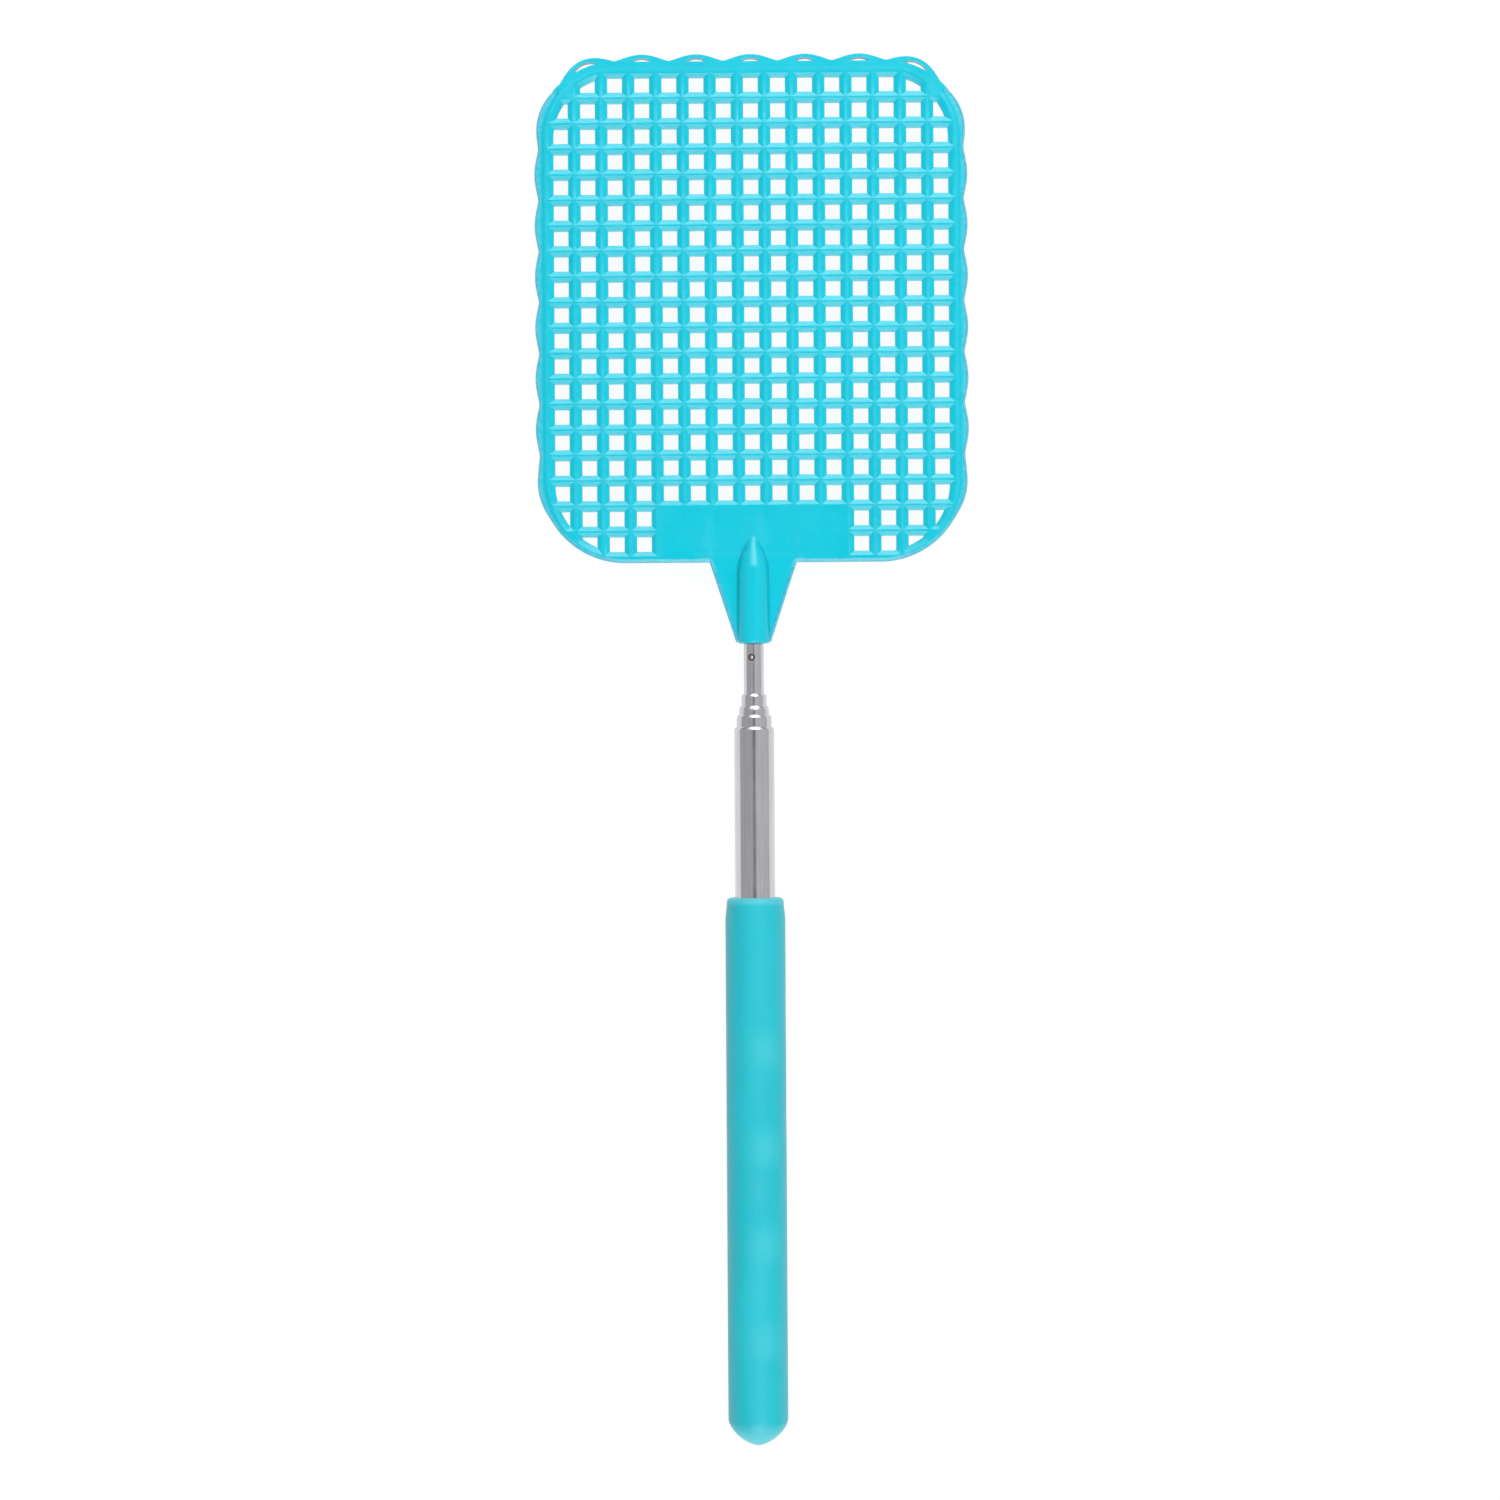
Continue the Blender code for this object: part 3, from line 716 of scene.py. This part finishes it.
def falling(value, end, ease):
    """1 well before an end and 0 after it."""
    return smooth_step((end - value) / ease)


def recess(x, y):
    """How far the web's low floor takes over from the plate, from 0 to 1."""
    beside = falling(x, *BESIDE_X) * falling(y, *BESIDE_Y)
    below = falling(y, *BELOW_Y) * falling(x, *BELOW_X)
    return 1.0 - (1.0 - beside) * (1.0 - below)


def plate_height(x, y):
    """Height of the solid plate, with the bars' slopes round it and the web's recess in it."""
    low = recess(x, y)
    floor = PLATE_FLOOR + (WEB_FLOOR - PLATE_FLOOR) * low
    side = (PLATE_HALF - x) / BAR_HALF_X
    top = (PLATE_TOP - y) / BAR_HALF_Y
    near = 1.0 - np.clip(np.minimum(side, top) / PLATE_EASE, 0.0, 1.0)
    return floor + (CROWN - floor) * near ** 2


def socket_radius(y):
    """Radius of the round socket along the pole's axis."""
    nose = np.clip((y - SOCKET_SHOULDER) / (SOCKET_NOSE - SOCKET_SHOULDER), 0.0, 1.0)
    radius = SOCKET_RADIUS * (1.0 - nose ** NOSE_BLUNT)
    drop = np.clip((SOCKET_EDGE_TOP - y) / (SOCKET_EDGE_TOP - SOCKET_FOOT), 0.0, 1.0)
    return radius - SOCKET_EDGE * (1.0 - np.sqrt(1.0 - drop ** 2))


def blended_top(a, b, size):
    """The higher of two heights, with a fillet where they meet."""
    share = np.clip(0.5 + 0.5 * (b - a) / size, 0.0, 1.0)
    return a + (b - a) * share + size * share * (1.0 - share)


def ramp_height(x, y, floor):
    """Low swell from the socket's nose to the bar above the plate."""
    middle = 1.0 - smooth_step(x / RAMP_HALF)
    return floor + (1.0 - floor) * middle * smooth_step((y - RAMP_FOOT) / RAMP_EASE)


def web_distance(x, y):
    """Distance outside the web's slanted side."""
    slope = Vector((WEB_HALF_TOP - WEB_HALF_FOOT, FOOT - NECK_FOOT)).normalized()
    return (x - WEB_HALF_TOP) * slope.y - (y - FOOT) * slope.x


def head_height(x, y):
    """Height of the head's front face over its middle plane, in millimetres."""
    x = np.abs(x)
    box, travel = rounded_box(x, y, *OUTLINE)
    web = web_distance(x, y)
    in_box = (x < PLATE_HALF) & (y < PLATE_TOP)
    height = np.where(in_box, plate_height(x, y), grid_height(x, y))
    places, heights = edge_section(travel)
    rim = along_section(box, places, heights) / CROWN
    still = np.ones_like(x)
    bead = along_section(web, np.outer(WEB_PLACES, still), np.outer(WEB_HEIGHTS, still))
    plain_places, plain_heights = plain_edge(travel)
    plain = along_section(web, plain_places, plain_heights) / CROWN
    side = plain + (bead - plain) * falling(y, *WEB_START)
    edge = np.where(web < box, side, rim)
    height = height * np.where(np.minimum(web, box) > -EDGE_WIDTH, edge, 1.0)
    height = height * (WEB_END + (1.0 - WEB_END) * smooth_step((y - NECK_FOOT) / WEB_END_EASE))
    neck = (x < NECK_HALF) & (y < PLATE_TOP)
    ramp = ramp_height(x, y, height)
    height = np.where(neck & (y > FOOT), np.maximum(height, ramp), height)
    boss = np.sqrt(np.maximum(socket_radius(y) ** 2 - x ** 2, 0.0))
    height = np.where(neck, blended_top(height, boss, FILLET), height)
    return np.maximum(height, LAND)


def painted_sheen_share(x, y):
    """Share of painted highlight on the head, from 0 to 1: most along its outer edge."""
    x = np.abs(x)
    box, travel = rounded_box(x, y, *OUTLINE)
    rise, _ = scallop(travel)
    inside = np.where(web_distance(x, y) < box, -web_distance(x, y), rise - box)
    edge = 1.0 - smooth_step((inside - EDGE_SHEEN) / EDGE_SHEEN)
    lip = LIP_SHEEN * (1.0 - smooth_step(np.abs(box + EDGE_WIDTH) / SHEEN_LINE_WIDTH))
    between = np.abs(x / PITCH_X - np.floor(x / PITCH_X) - 0.5) * PITCH_X
    ridge = RIDGE_SHEEN * (1.0 - smooth_step(between / SHEEN_LINE_WIDTH))
    in_grid = (box < -RIM) & ((y > PLATE_TOP) | (x > PLATE_HALF))
    return np.maximum(edge, np.where(in_grid, ridge, np.where(box < -RIM, PLATE_SHEEN, lip)))


# ---- head mesh

class Plan:
    """Points, lines and closed loops of the head's plan, for the triangulation."""

    def __init__(self):
        self.points = []
        self.lines = []
        self.loops = []

    def add(self, points, closed=False):
        """Add a line through points."""
        first = len(self.points)
        self.points += [Vector((p[0], p[1])) for p in points]
        last = len(self.points) - 1
        self.lines += [(k, k + 1) for k in range(first, last)]
        if closed:
            self.lines.append((last, first))
        return list(range(first, last + 1))

    def add_both(self, points):
        """Add a line and its mirror image across the pole's axis."""
        self.add(points)
        self.add([(-p[0], p[1]) for p in points])

    def add_loop(self, points):
        """Add a closed loop that bounds the head, a hole or a slit."""
        turned = sum(p[0] * q[1] - p[1] * q[0] for p, q in zip(points, points[1:] + points[:1]))
        if turned < 0.0:
            points = points[::-1]
        self.loops.append(self.add(points, closed=True))


def travel_samples():
    """Places along the right half of the outline, with one on every valley and corner."""
    stops = sorted(set(
        [0.0] + list(LOBES[1:, 0]) + [LOBES_END, FOOT_START]
        + [FOOT_START + HALF_WIDTH - LOW_CORNER - WEB_HALF_TOP]
    ))
    samples = []
    for start, end in zip(stops, stops[1:]):
        count = max(2, round((end - start) / OUTLINE_STEP))
        samples += [start + (end - start) * k / count for k in range(count)]
    return np.array(samples + [stops[-1]])


def edge_lines(samples):
    """Lines along the rim's edge, from its crown outwards, as lists of points."""
    places, _ = edge_section(samples)
    spots = [outline_point(travel) for travel in samples]
    lines = []
    for row in places:
        line = [point + normal * distance for (point, normal), distance in zip(spots, row)]
        line[-1] = spots[-1][0] + WEB_CORNER * row[-1]
        lines.append(line)
    return lines


def slit_ranges(samples):
    """Runs of samples with a slit, without the last run, the plain edge round the foot."""
    places, _ = edge_section(samples)
    wide = np.flatnonzero(places[LEDGE_LINE + 1] - places[LEDGE_LINE] > SLIT_WIDTH)
    return np.split(wide, np.flatnonzero(np.diff(wide) > 1) + 1)[:-1]


def web_lines():
    """Lines down the web's slanted side, from the inside outwards."""
    top = Vector((WEB_HALF_TOP, FOOT))
    foot = Vector((WEB_HALF_FOOT, NECK_FOOT))
    along = (foot - top).normalized()
    normal = Vector((-along.y, along.x))
    if normal.x < 0.0:
        normal = -normal
    lines = []
    for distance in WEB_PLACES:
        start = top + WEB_CORNER * distance
        end = foot + normal * distance
        end += along * ((NECK_FOOT - end.y) / along.y)
        lines.append([start + (end - start) * k / WEB_STEPS for k in range(WEB_STEPS + 1)])
    return lines


def socket_rows():
    """Heights along the socket at which its surface is sampled."""
    at_edge, at_body, at_nose = SOCKET_STEPS
    drop = SOCKET_EDGE_TOP - SOCKET_FOOT
    length = SOCKET_NOSE - SOCKET_SHOULDER
    edge = [SOCKET_EDGE_TOP - drop * math.sin(QUARTER * k / at_edge) for k in range(at_edge, 0, -1)]
    body = list(np.linspace(SOCKET_EDGE_TOP, SOCKET_SHOULDER, at_body + 1))
    nose = [SOCKET_SHOULDER + length * math.sin(QUARTER * k / at_nose) for k in range(1, at_nose)]
    return edge + body + nose


def socket_line(rows, degrees):
    """A line along the socket at an angle from its crown, as plan points."""
    reach = math.sin(math.radians(degrees))
    return [Vector((socket_radius(y) * reach, y)) for y in rows]


def mirrored(points):
    """The same points across the pole's axis, in reverse order."""
    return [Vector((-p[0], p[1])) for p in reversed(points)]


def draw_outline(plan):
    """The head's outline, the lines inside it and the slits."""
    samples = travel_samples()
    lines = edge_lines(samples)
    sides = web_lines()
    rows = [y for y in socket_rows() if y < NECK_FOOT]
    right = lines[-1] + sides[-1][1:] + socket_line([NECK_FOOT] + rows[::-1], SOCKET_SIDE)
    plan.add_loop(right + mirrored(right[1:]))
    for line in lines[:-1] + sides[:-1]:
        plan.add_both(line)
    for run in slit_ranges(samples):
        inner = [lines[LEDGE_LINE][k] for k in run]
        outer = [lines[LEDGE_LINE + 1][k] for k in run]
        if run[0] == 0:
            inner = mirrored(inner[1:]) + inner
            outer = mirrored(outer[1:]) + outer
            plan.add_loop(outer + inner[::-1])
        else:
            slit = outer + inner[::-1]
            plan.add_loop(slit)
            plan.add_loop([Vector((-p.x, p.y)) for p in slit])


def draw_grid(plan):
    """The holes and the rings that shape the bars round them."""
    limits = [hole_limit(share * RIM_SLOPE) for share in RING_SHARES]
    for row, column in OPEN_CELLS:
        for share, limit in zip(RING_SHARES, limits):
            ring = cell_ring(row, column, share, limit)
            if share == 0.0:
                plan.add_loop(ring)
            else:
                plan.add(ring, closed=True)


def draw_neck(plan):
    """The lines that shape the socket, and the points round it."""
    rows = socket_rows()
    nose = Vector((0.0, SOCKET_NOSE))
    plan.add(socket_line(rows, 0) + [nose])
    for degrees in range(SPOKE_STEP, SOCKET_SIDE, SPOKE_STEP):
        plan.add_both(socket_line(rows, degrees) + [nose])
    above = [y for y in rows if y > NECK_FOOT + FILLET_LEAD]
    for out in FILLET_LINES:
        line = [(socket_radius(y) + out, y) for y in above]
        line.append((0.0, SOCKET_NOSE + out))
        plan.add_both(line)
    for x in np.arange(NECK_LEAD[0], NECK_HALF, NECK_STEP):
        for y in np.arange(FOOT + NECK_LEAD[1], PLATE_TOP, NECK_STEP):
            if x > FILLET_GAP[0] or y > SOCKET_NOSE + FILLET_GAP[1]:
                plan.points += [Vector((x, y)), Vector((-x, y))]


def draw_plate(plan):
    """The lines along the slopes at the plate's sides and top."""
    ticks = np.arange(-NECK_HALF, NECK_HALF + 0.5 * PLATE_LINE_STEP, PLATE_LINE_STEP)
    for deep in PLATE_LINES:
        half = PLATE_HALF - deep * BAR_HALF_X
        height = PLATE_TOP - deep * BAR_HALF_Y
        across = [(float(x), height) for x in (-half, *ticks, half)]
        plan.add([(-half, PLATE_LINE_FOOT), *across, (half, PLATE_LINE_FOOT)])


def head_triangles():
    """Plan points and the triangles that lie in the head and not in a hole or slit."""
    plan = Plan()
    draw_outline(plan)
    draw_grid(plan)
    draw_neck(plan)
    draw_plate(plan)
    result = delaunay_2d_cdt(plan.points, plan.lines, plan.loops, 0, PLAN_SNAP, True)
    points, _, faces, _, _, sources = result
    kept = [face for face, source in zip(faces, sources) if list(source) == [0]]
    used = sorted({k for face in kept for k in face})
    place = {old: new for new, old in enumerate(used)}
    plan_points = np.array([points[k] for k in used])
    return plan_points, [tuple(place[k] for k in face) for face in kept]


def border_edges(faces):
    """Directed edges that only one face has."""
    seen = {edge for face in faces for edge in zip(face, face[1:] + face[:1])}
    return [(a, b) for a, b in seen if (b, a) not in seen]


def bore_faces(loop, points):
    """The socket's end face and blind bore, from the loop of points round its foot."""
    loop_points = np.array([points[k] for k in loop])
    angles = np.arctan2(loop_points[:, 2], loop_points[:, 0])
    rings = [loop]
    for radius, y in ((MOUTH_RADIUS, SOCKET_FOOT),) + BORE:
        ring = []
        for angle in angles:
            points.append((radius * math.cos(angle), y, radius * math.sin(angle)))
            ring.append(len(points) - 1)
        rings.append(ring)
    faces = []
    for low, high in zip(rings, rings[1:]):
        faces += band(low, high)
    faces.append(tuple(rings[-1]))
    return faces


def build_head():
    """Grid, rim, plate, web and socket as one moulding with two like faces."""
    flat, faces = head_triangles()
    heights = head_height(flat[:, 0], flat[:, 1])
    count = len(flat)
    points = [(x, y, z) for (x, y), z in zip(flat, heights)]
    points += [(x, y, -z) for (x, y), z in zip(flat, heights)]
    solid = list(faces) + [tuple(k + count for k in reversed(face)) for face in faces]
    at_foot = np.abs(flat[:, 1] - SOCKET_FOOT) < PLAN_SNAP
    for a, b in border_edges(faces):
        if not (at_foot[a] and at_foot[b]):
            solid.append((b, a, a + count, b + count))
    row = sorted(np.flatnonzero(at_foot), key=lambda k: flat[k, 0])
    loop = [int(k) for k in row] + [int(k) + count for k in reversed(row)]
    solid += bore_faces(loop, points)
    head = to_object("swatter_head_moulding", points, solid, head_plastic)
    # per-point share of painted highlight along the edges, the rim's inner line, the bars' ridges and the
    # plate
    painted_sheen = head.data.attributes.new("painted_sheen", "FLOAT", "POINT")
    places = np.array([vertex.co for vertex in head.data.vertices]) / MM
    painted_sheen.data.foreach_set("value", painted_sheen_share(places[:, 0], places[:, 1]).astype(np.float32))
    tidy(head)
    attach(head, "head")
    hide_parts("swatter_head")


# ---- materials

def new_material(name):
    """A material with a Principled shader; returns it with its node tree and shader."""
    mat = bpy.data.materials.new(name)
    mat.use_nodes = True
    tree = mat.node_tree
    return mat, tree, tree.nodes["Principled BSDF"]


def set_inputs(tree, node, values):
    """Fill or link a node's inputs; uniform values go on its own sockets."""
    for key, value in values.items():
        if isinstance(value, bpy.types.NodeSocket):
            tree.links.new(value, node.inputs[key])
        else:
            node.inputs[key].default_value = value


def add_node(tree, kind, inputs=(), **settings):
    """Add a node, set its properties and fill or link its inputs."""
    node = tree.nodes.new("ShaderNode" + kind)
    for name, value in settings.items():
        setattr(node, name, value)
    set_inputs(tree, node, dict(inputs))
    return node


def math_node(tree, operation, *values):
    """The result of one operation on one or two values."""
    return add_node(tree, "Math", dict(enumerate(values)), operation=operation).outputs[0]


def object_place(tree, stretch=(1.0, 1.0, 1.0)):
    """Coordinates fixed to the piece, in metres, stretched along each axis."""
    place = add_node(tree, "TexCoord").outputs["Object"]
    return add_node(tree, "Mapping", {"Vector": place, "Scale": stretch}).outputs["Vector"]


def noise(tree, place, scale, detail=3.0, roughness=0.5):
    """A noise value from 0 to 1."""
    inputs = {"Vector": place, "Scale": scale, "Detail": detail, "Roughness": roughness}
    return add_node(tree, "TexNoise", inputs).outputs["Fac"]


def spread(tree, value, low=0.0, high=1.0, start=0.3, end=0.7):
    """Map a value from one range to another."""
    inputs = {"Value": value, "From Min": start, "From Max": end, "To Min": low, "To Max": high}
    return add_node(tree, "MapRange", inputs).outputs["Result"]


def mix_colours(tree, share, first, second):
    """Blend two colours, each a socket or red, green and blue."""
    values = [(*value, 1.0) if isinstance(value, tuple) else value for value in (share, first, second)]
    return add_node(tree, "Mix", dict(zip((0, 6, 7), values)), data_type="RGBA").outputs[2]


def bump(tree, height, strength, distance, before=None):
    """A bump from a height, on top of an earlier one."""
    inputs = {"Height": height, "Strength": strength, "Distance": distance}
    if before is not None:
        inputs["Normal"] = before
    return add_node(tree, "Bump", inputs).outputs["Normal"]


def worn_edges(tree, low=0.52, high=0.62):
    """1 on sharp convex edges and 0 elsewhere."""
    pointy = add_node(tree, "NewGeometry").outputs["Pointiness"]
    return spread(tree, pointy, 0.0, 1.0, low, high)


def moulded_plastic(name):
    """Glossy turquoise moulding with faint flow marks and painted highlights on its edges, rim line, bar
    ridges and plate.
    """
    mat, tree, shader = new_material(name)
    place = object_place(tree)
    flow = noise(tree, object_place(tree, (1.0, 0.4, 1.0)), 90.0, 3.0)
    colour = mix_colours(tree, spread(tree, flow), *PLASTIC)
    mottle = noise(tree, place, 900.0, 2.0)
    colour = mix_colours(tree, spread(tree, mottle, 0.0, 0.35), colour, PLASTIC_MOTTLE)
    # painted highlight from the mesh attribute, broken up by the mottle
    painted_sheen = add_node(tree, "Attribute", attribute_name="painted_sheen").outputs["Fac"]
    wear_and_sheen = math_node(tree, "MULTIPLY", painted_sheen, spread(tree, mottle, 0.10, 0.55))
    grain = bump(tree, noise(tree, place, 2600.0, 2.0), 0.10, 0.0001)
    set_inputs(tree, shader, {
        "Base Color": mix_colours(tree, wear_and_sheen, colour, PLASTIC_SHEEN),
        "Roughness": spread(tree, noise(tree, place, 160.0, 4.0), 0.16, 0.27),
        "Normal": bump(tree, noise(tree, place, 350.0, 1.0), 0.05, 0.0004, grain),
        "IOR": 1.45,
        "Specular IOR Level": 0.42,
        "Subsurface Weight": 0.15,
        "Subsurface Radius": (0.2, 1.0, 1.0),
        "Subsurface Scale": 0.0008,
    })
    return mat


def finger_sheen(tree, place):
    """Share of painted highlight on the rubber: most on the swells' upper slopes, more to the right, and
    nothing at the back.
    """
    x, y, z = add_node(tree, "SeparateXYZ", {"Vector": place}).outputs
    crest = (FINGER_CREST + FINGER_SHEEN_SHIFT) * MM
    phase = spread(tree, y, 0.0, TURN, crest, crest + FINGER_PITCH * MM)
    phase.node.clamp = False
    share = spread(tree, math_node(tree, "COSINE", phase), 0.0, 0.5, 0.0, 1.0)
    low = FINGER_CREST - (FINGER_WAVES - 0.5) * FINGER_PITCH
    high = FINGER_CREST + 0.5 * FINGER_PITCH
    above = spread(tree, y, 0.0, 1.0, (low - FINGER_SHEEN_FADE) * MM, low * MM)
    below = spread(tree, y, 1.0, 0.0, high * MM, (high + FINGER_SHEEN_FADE) * MM)
    front = spread(tree, z, 0.0, 1.0, *((AXIS_Z + height) * MM for height in FINGER_SHEEN_FRONT))
    right = spread(tree, x, 0.2, 1.0, *(distance * MM for distance in FINGER_SHEEN_SIDE))
    for factor in (above, below, front, right):
        share = math_node(tree, "MULTIPLY", share, factor)
    return share


def end_sheen(tree, place):
    """Share of painted highlight on the rubber at the grip's mouth and nose."""
    along = add_node(tree, "SeparateXYZ", {"Vector": place}).outputs["Y"]
    mouth = spread(tree, along, 0.0, 0.5, (GRIP_TOP - MOUTH_SHEEN) * MM, (GRIP_TOP - 0.5 * MOUTH_SHEEN) * MM)
    nose = spread(tree, along, 0.7, 0.0, (GRIP_END + 0.4 * NOSE_SHEEN) * MM, (GRIP_END + NOSE_SHEEN) * MM)
    return math_node(tree, "MAXIMUM", mouth, nose)


def soft_rubber(name):
    """Matt turquoise rubber with a fine speckle."""
    mat, tree, shader = new_material(name)
    place = object_place(tree)
    patches = noise(tree, object_place(tree, (1.0, 0.5, 1.0)), 120.0, 4.0)
    colour = mix_colours(tree, spread(tree, patches), *RUBBER)
    # painted highlight on the finger swells' upper slopes
    colour = mix_colours(tree, finger_sheen(tree, place), colour, FINGER_SHEEN)
    speckle = noise(tree, place, 1900.0, 2.0, 0.6)
    colour = mix_colours(tree, spread(tree, speckle, 0.0, 0.35, 0.5, 0.75), colour, RUBBER_SPECKLE)
    # painted highlight at the mouth and nose
    colour = mix_colours(tree, end_sheen(tree, place), colour, END_WEAR_AND_SHEEN)
    wear_and_sheen = spread(tree, worn_edges(tree), 0.0, 0.35, 0.0, 1.0)
    grain = bump(tree, speckle, 0.35, 0.00012)
    set_inputs(tree, shader, {
        "Base Color": mix_colours(tree, wear_and_sheen, colour, END_WEAR_AND_SHEEN),
        "Roughness": spread(tree, patches, 0.42, 0.56),
        "Normal": bump(tree, noise(tree, place, 260.0, 2.0), 0.18, 0.0004, grain),
        "IOR": 1.42,
        "Sheen Weight": 0.10,
        "Sheen Roughness": 0.5,
    })
    return mat


def drawn_metal(name, colours, low, high, lines=1.0):
    """Metal drawn along Y: fine lengthwise lines, faint rings, and smudges between two roughnesses."""
    mat, tree, shader = new_material(name)
    drawn = noise(tree, object_place(tree, (1.0, 0.012, 1.0)), 5200.0, 3.0)
    turned = noise(tree, object_place(tree, (0.05, 1.0, 0.05)), 2600.0, 2.0)
    smudge = noise(tree, object_place(tree), 180.0, 4.0)
    colour = mix_colours(tree, spread(tree, drawn, 0.0, 1.0, 0.25, 0.75), *colours)
    wear_and_sheen = spread(tree, worn_edges(tree, 0.54, 0.66), 0.0, 0.5, 0.0, 1.0)
    grain = bump(tree, drawn, 0.10 * lines, 0.00004)
    set_inputs(tree, shader, {
        "Base Color": mix_colours(tree, wear_and_sheen, colour, tuple(METAL_WEAR * c for c in colours[1])),
        "Roughness": spread(tree, smudge, low, high),
        "Normal": bump(tree, turned, 0.05 * lines, 0.00003, grain),
        "Metallic": 1.0,
    })
    return mat


def plain_plastic(name, colour):
    """Dark moulded plastic with a fine grain."""
    mat, tree, shader = new_material(name)
    place = object_place(tree)
    grain = noise(tree, place, 2400.0, 3.0)
    lighter = tuple(PLUG_GRAIN * c for c in colour)
    base = mix_colours(tree, spread(tree, grain), colour, lighter)
    set_inputs(tree, shader, {
        "Base Color": mix_colours(tree, worn_edges(tree), base, tuple(PLUG_WEAR * c for c in colour)),
        "Roughness": spread(tree, noise(tree, place, 300.0), 0.42, 0.62),
        "Normal": bump(tree, grain, 0.3, 0.0001),
    })
    return mat


def dress(nodes, mat):
    """Give CAD nodes a material."""
    for name in nodes:
        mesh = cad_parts[name].data
        mesh.materials.clear()
        mesh.materials.append(mat)


# ---- stage

def build_floor():
    """A pale, softly lit table top."""
    bpy.ops.mesh.primitive_plane_add(size=FLOOR_SIZE, location=(0.0, 0.0, 0.0))
    floor = bpy.context.object
    floor.name = "floor"
    mat, tree, shader = new_material("pale_table")
    set_inputs(tree, shader, {
        "Base Color": FLOOR_COLOUR,
        "Roughness": 0.9,
        "Specular IOR Level": 0.0,
        "Emission Color": (1.0, 1.0, 1.0, 1.0),
        "Emission Strength": FLOOR_GLOW,
    })
    floor.data.materials.append(mat)


def softbox(name, inner, outer, along, length, radiance):
    """A rectangular area light between the middles of two edges, aimed at the object."""
    slope = outer - inner
    data = bpy.data.lights.new(name, "AREA")
    data.shape = "RECTANGLE"
    data.size = slope.length
    data.size_y = length
    data.energy = radiance * math.pi * slope.length * length
    middle = 0.5 * (outer + inner)
    across = slope.normalized()
    back = across.cross(along)
    if back.dot(middle) < 0.0:
        along = -along
        back = -back
    turn = Matrix((across, along, back)).transposed().to_4x4()
    add_object(name, data).matrix_world = Matrix.Translation(middle) @ turn


def side_softbox(name, inner, outer, radiance):
    """A softbox beside the object, whose long edges run along Y."""
    edges = [Vector((x, 0.0, z)) for x, z in zip((inner, outer), SIDE_HEIGHTS)]
    softbox(name, *edges, Vector((0.0, 1.0, 0.0)), SIDE_LENGTH, radiance)


def end_softbox(name, way, lift, width, radiance):
    """A softbox beyond one end of the object, whose long edges run along X."""
    edges = [Vector((END_SHIFT, way * y, z + lift)) for y, z in zip(END_REACH, END_HEIGHTS)]
    softbox(name, *edges, Vector((1.0, 0.0, 0.0)), width, radiance)


def build_lights():
    """A grey room, a softbox on each side and layers of them at both ends."""
    world = bpy.data.worlds.new("room")
    world.use_nodes = True
    tree = world.node_tree
    set_inputs(tree, tree.nodes["Background"], {"Color": ROOM_COLOUR, "Strength": ROOM})
    bpy.context.scene.world = world
    side_softbox("side_left", SLOT_LEFT, -SIDE_REACH, SIDE_LEFT)
    side_softbox("side_right", SLOT_RIGHT, SIDE_REACH, SIDE_RIGHT)
    for number, (width, at_head, at_grip) in enumerate(END_LAYERS):
        lift = LAYER_GAP * number
        end_softbox(f"end_head_{number}", 1.0, lift, width, at_head)
        end_softbox(f"end_grip_{number}", -1.0, lift, width, at_grip)


def build_camera():
    """A camera straight above the object, turned a little in its own plane."""
    data = bpy.data.cameras.new("camera")
    data.lens = LENS
    data.sensor_width = SENSOR
    data.clip_start = 0.01
    camera = add_object("camera", data)
    camera.location = (CAMERA_SHIFT, 0.0, AXIS_Z * MM + CAMERA_HEIGHT)
    camera.rotation_euler = (0.0, 0.0, CAMERA_ROLL)
    bpy.context.scene.camera = camera
    bpy.context.scene.view_settings.view_transform = "Standard"


head_plastic = moulded_plastic("head_plastic")
grip_rubber = soft_rubber("grip_rubber")
steel = drawn_metal("stainless", STEEL, 0.15, 0.25)
steel_pin = drawn_metal("plated_steel", PLATED, 0.30, 0.42, 0.5)
# painted shade for the pin's groove
painted_pin_shade = drawn_metal("painted_pin_shade", PAINTED_PIN_SHADE, 0.45, 0.65, 0.5)
bronze = drawn_metal("bronze", BRONZE, 0.25, 0.42)
black_plastic = plain_plastic("plug_plastic", PLUG_BLACK)

build_head()
build_pole()
build_grip()
dress([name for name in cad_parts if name.startswith("friction_shim")], bronze)
dress(["tip_plug"], steel_pin)
dress(["tube_end_plug"], black_plastic)
build_floor()
build_lights()
build_camera()
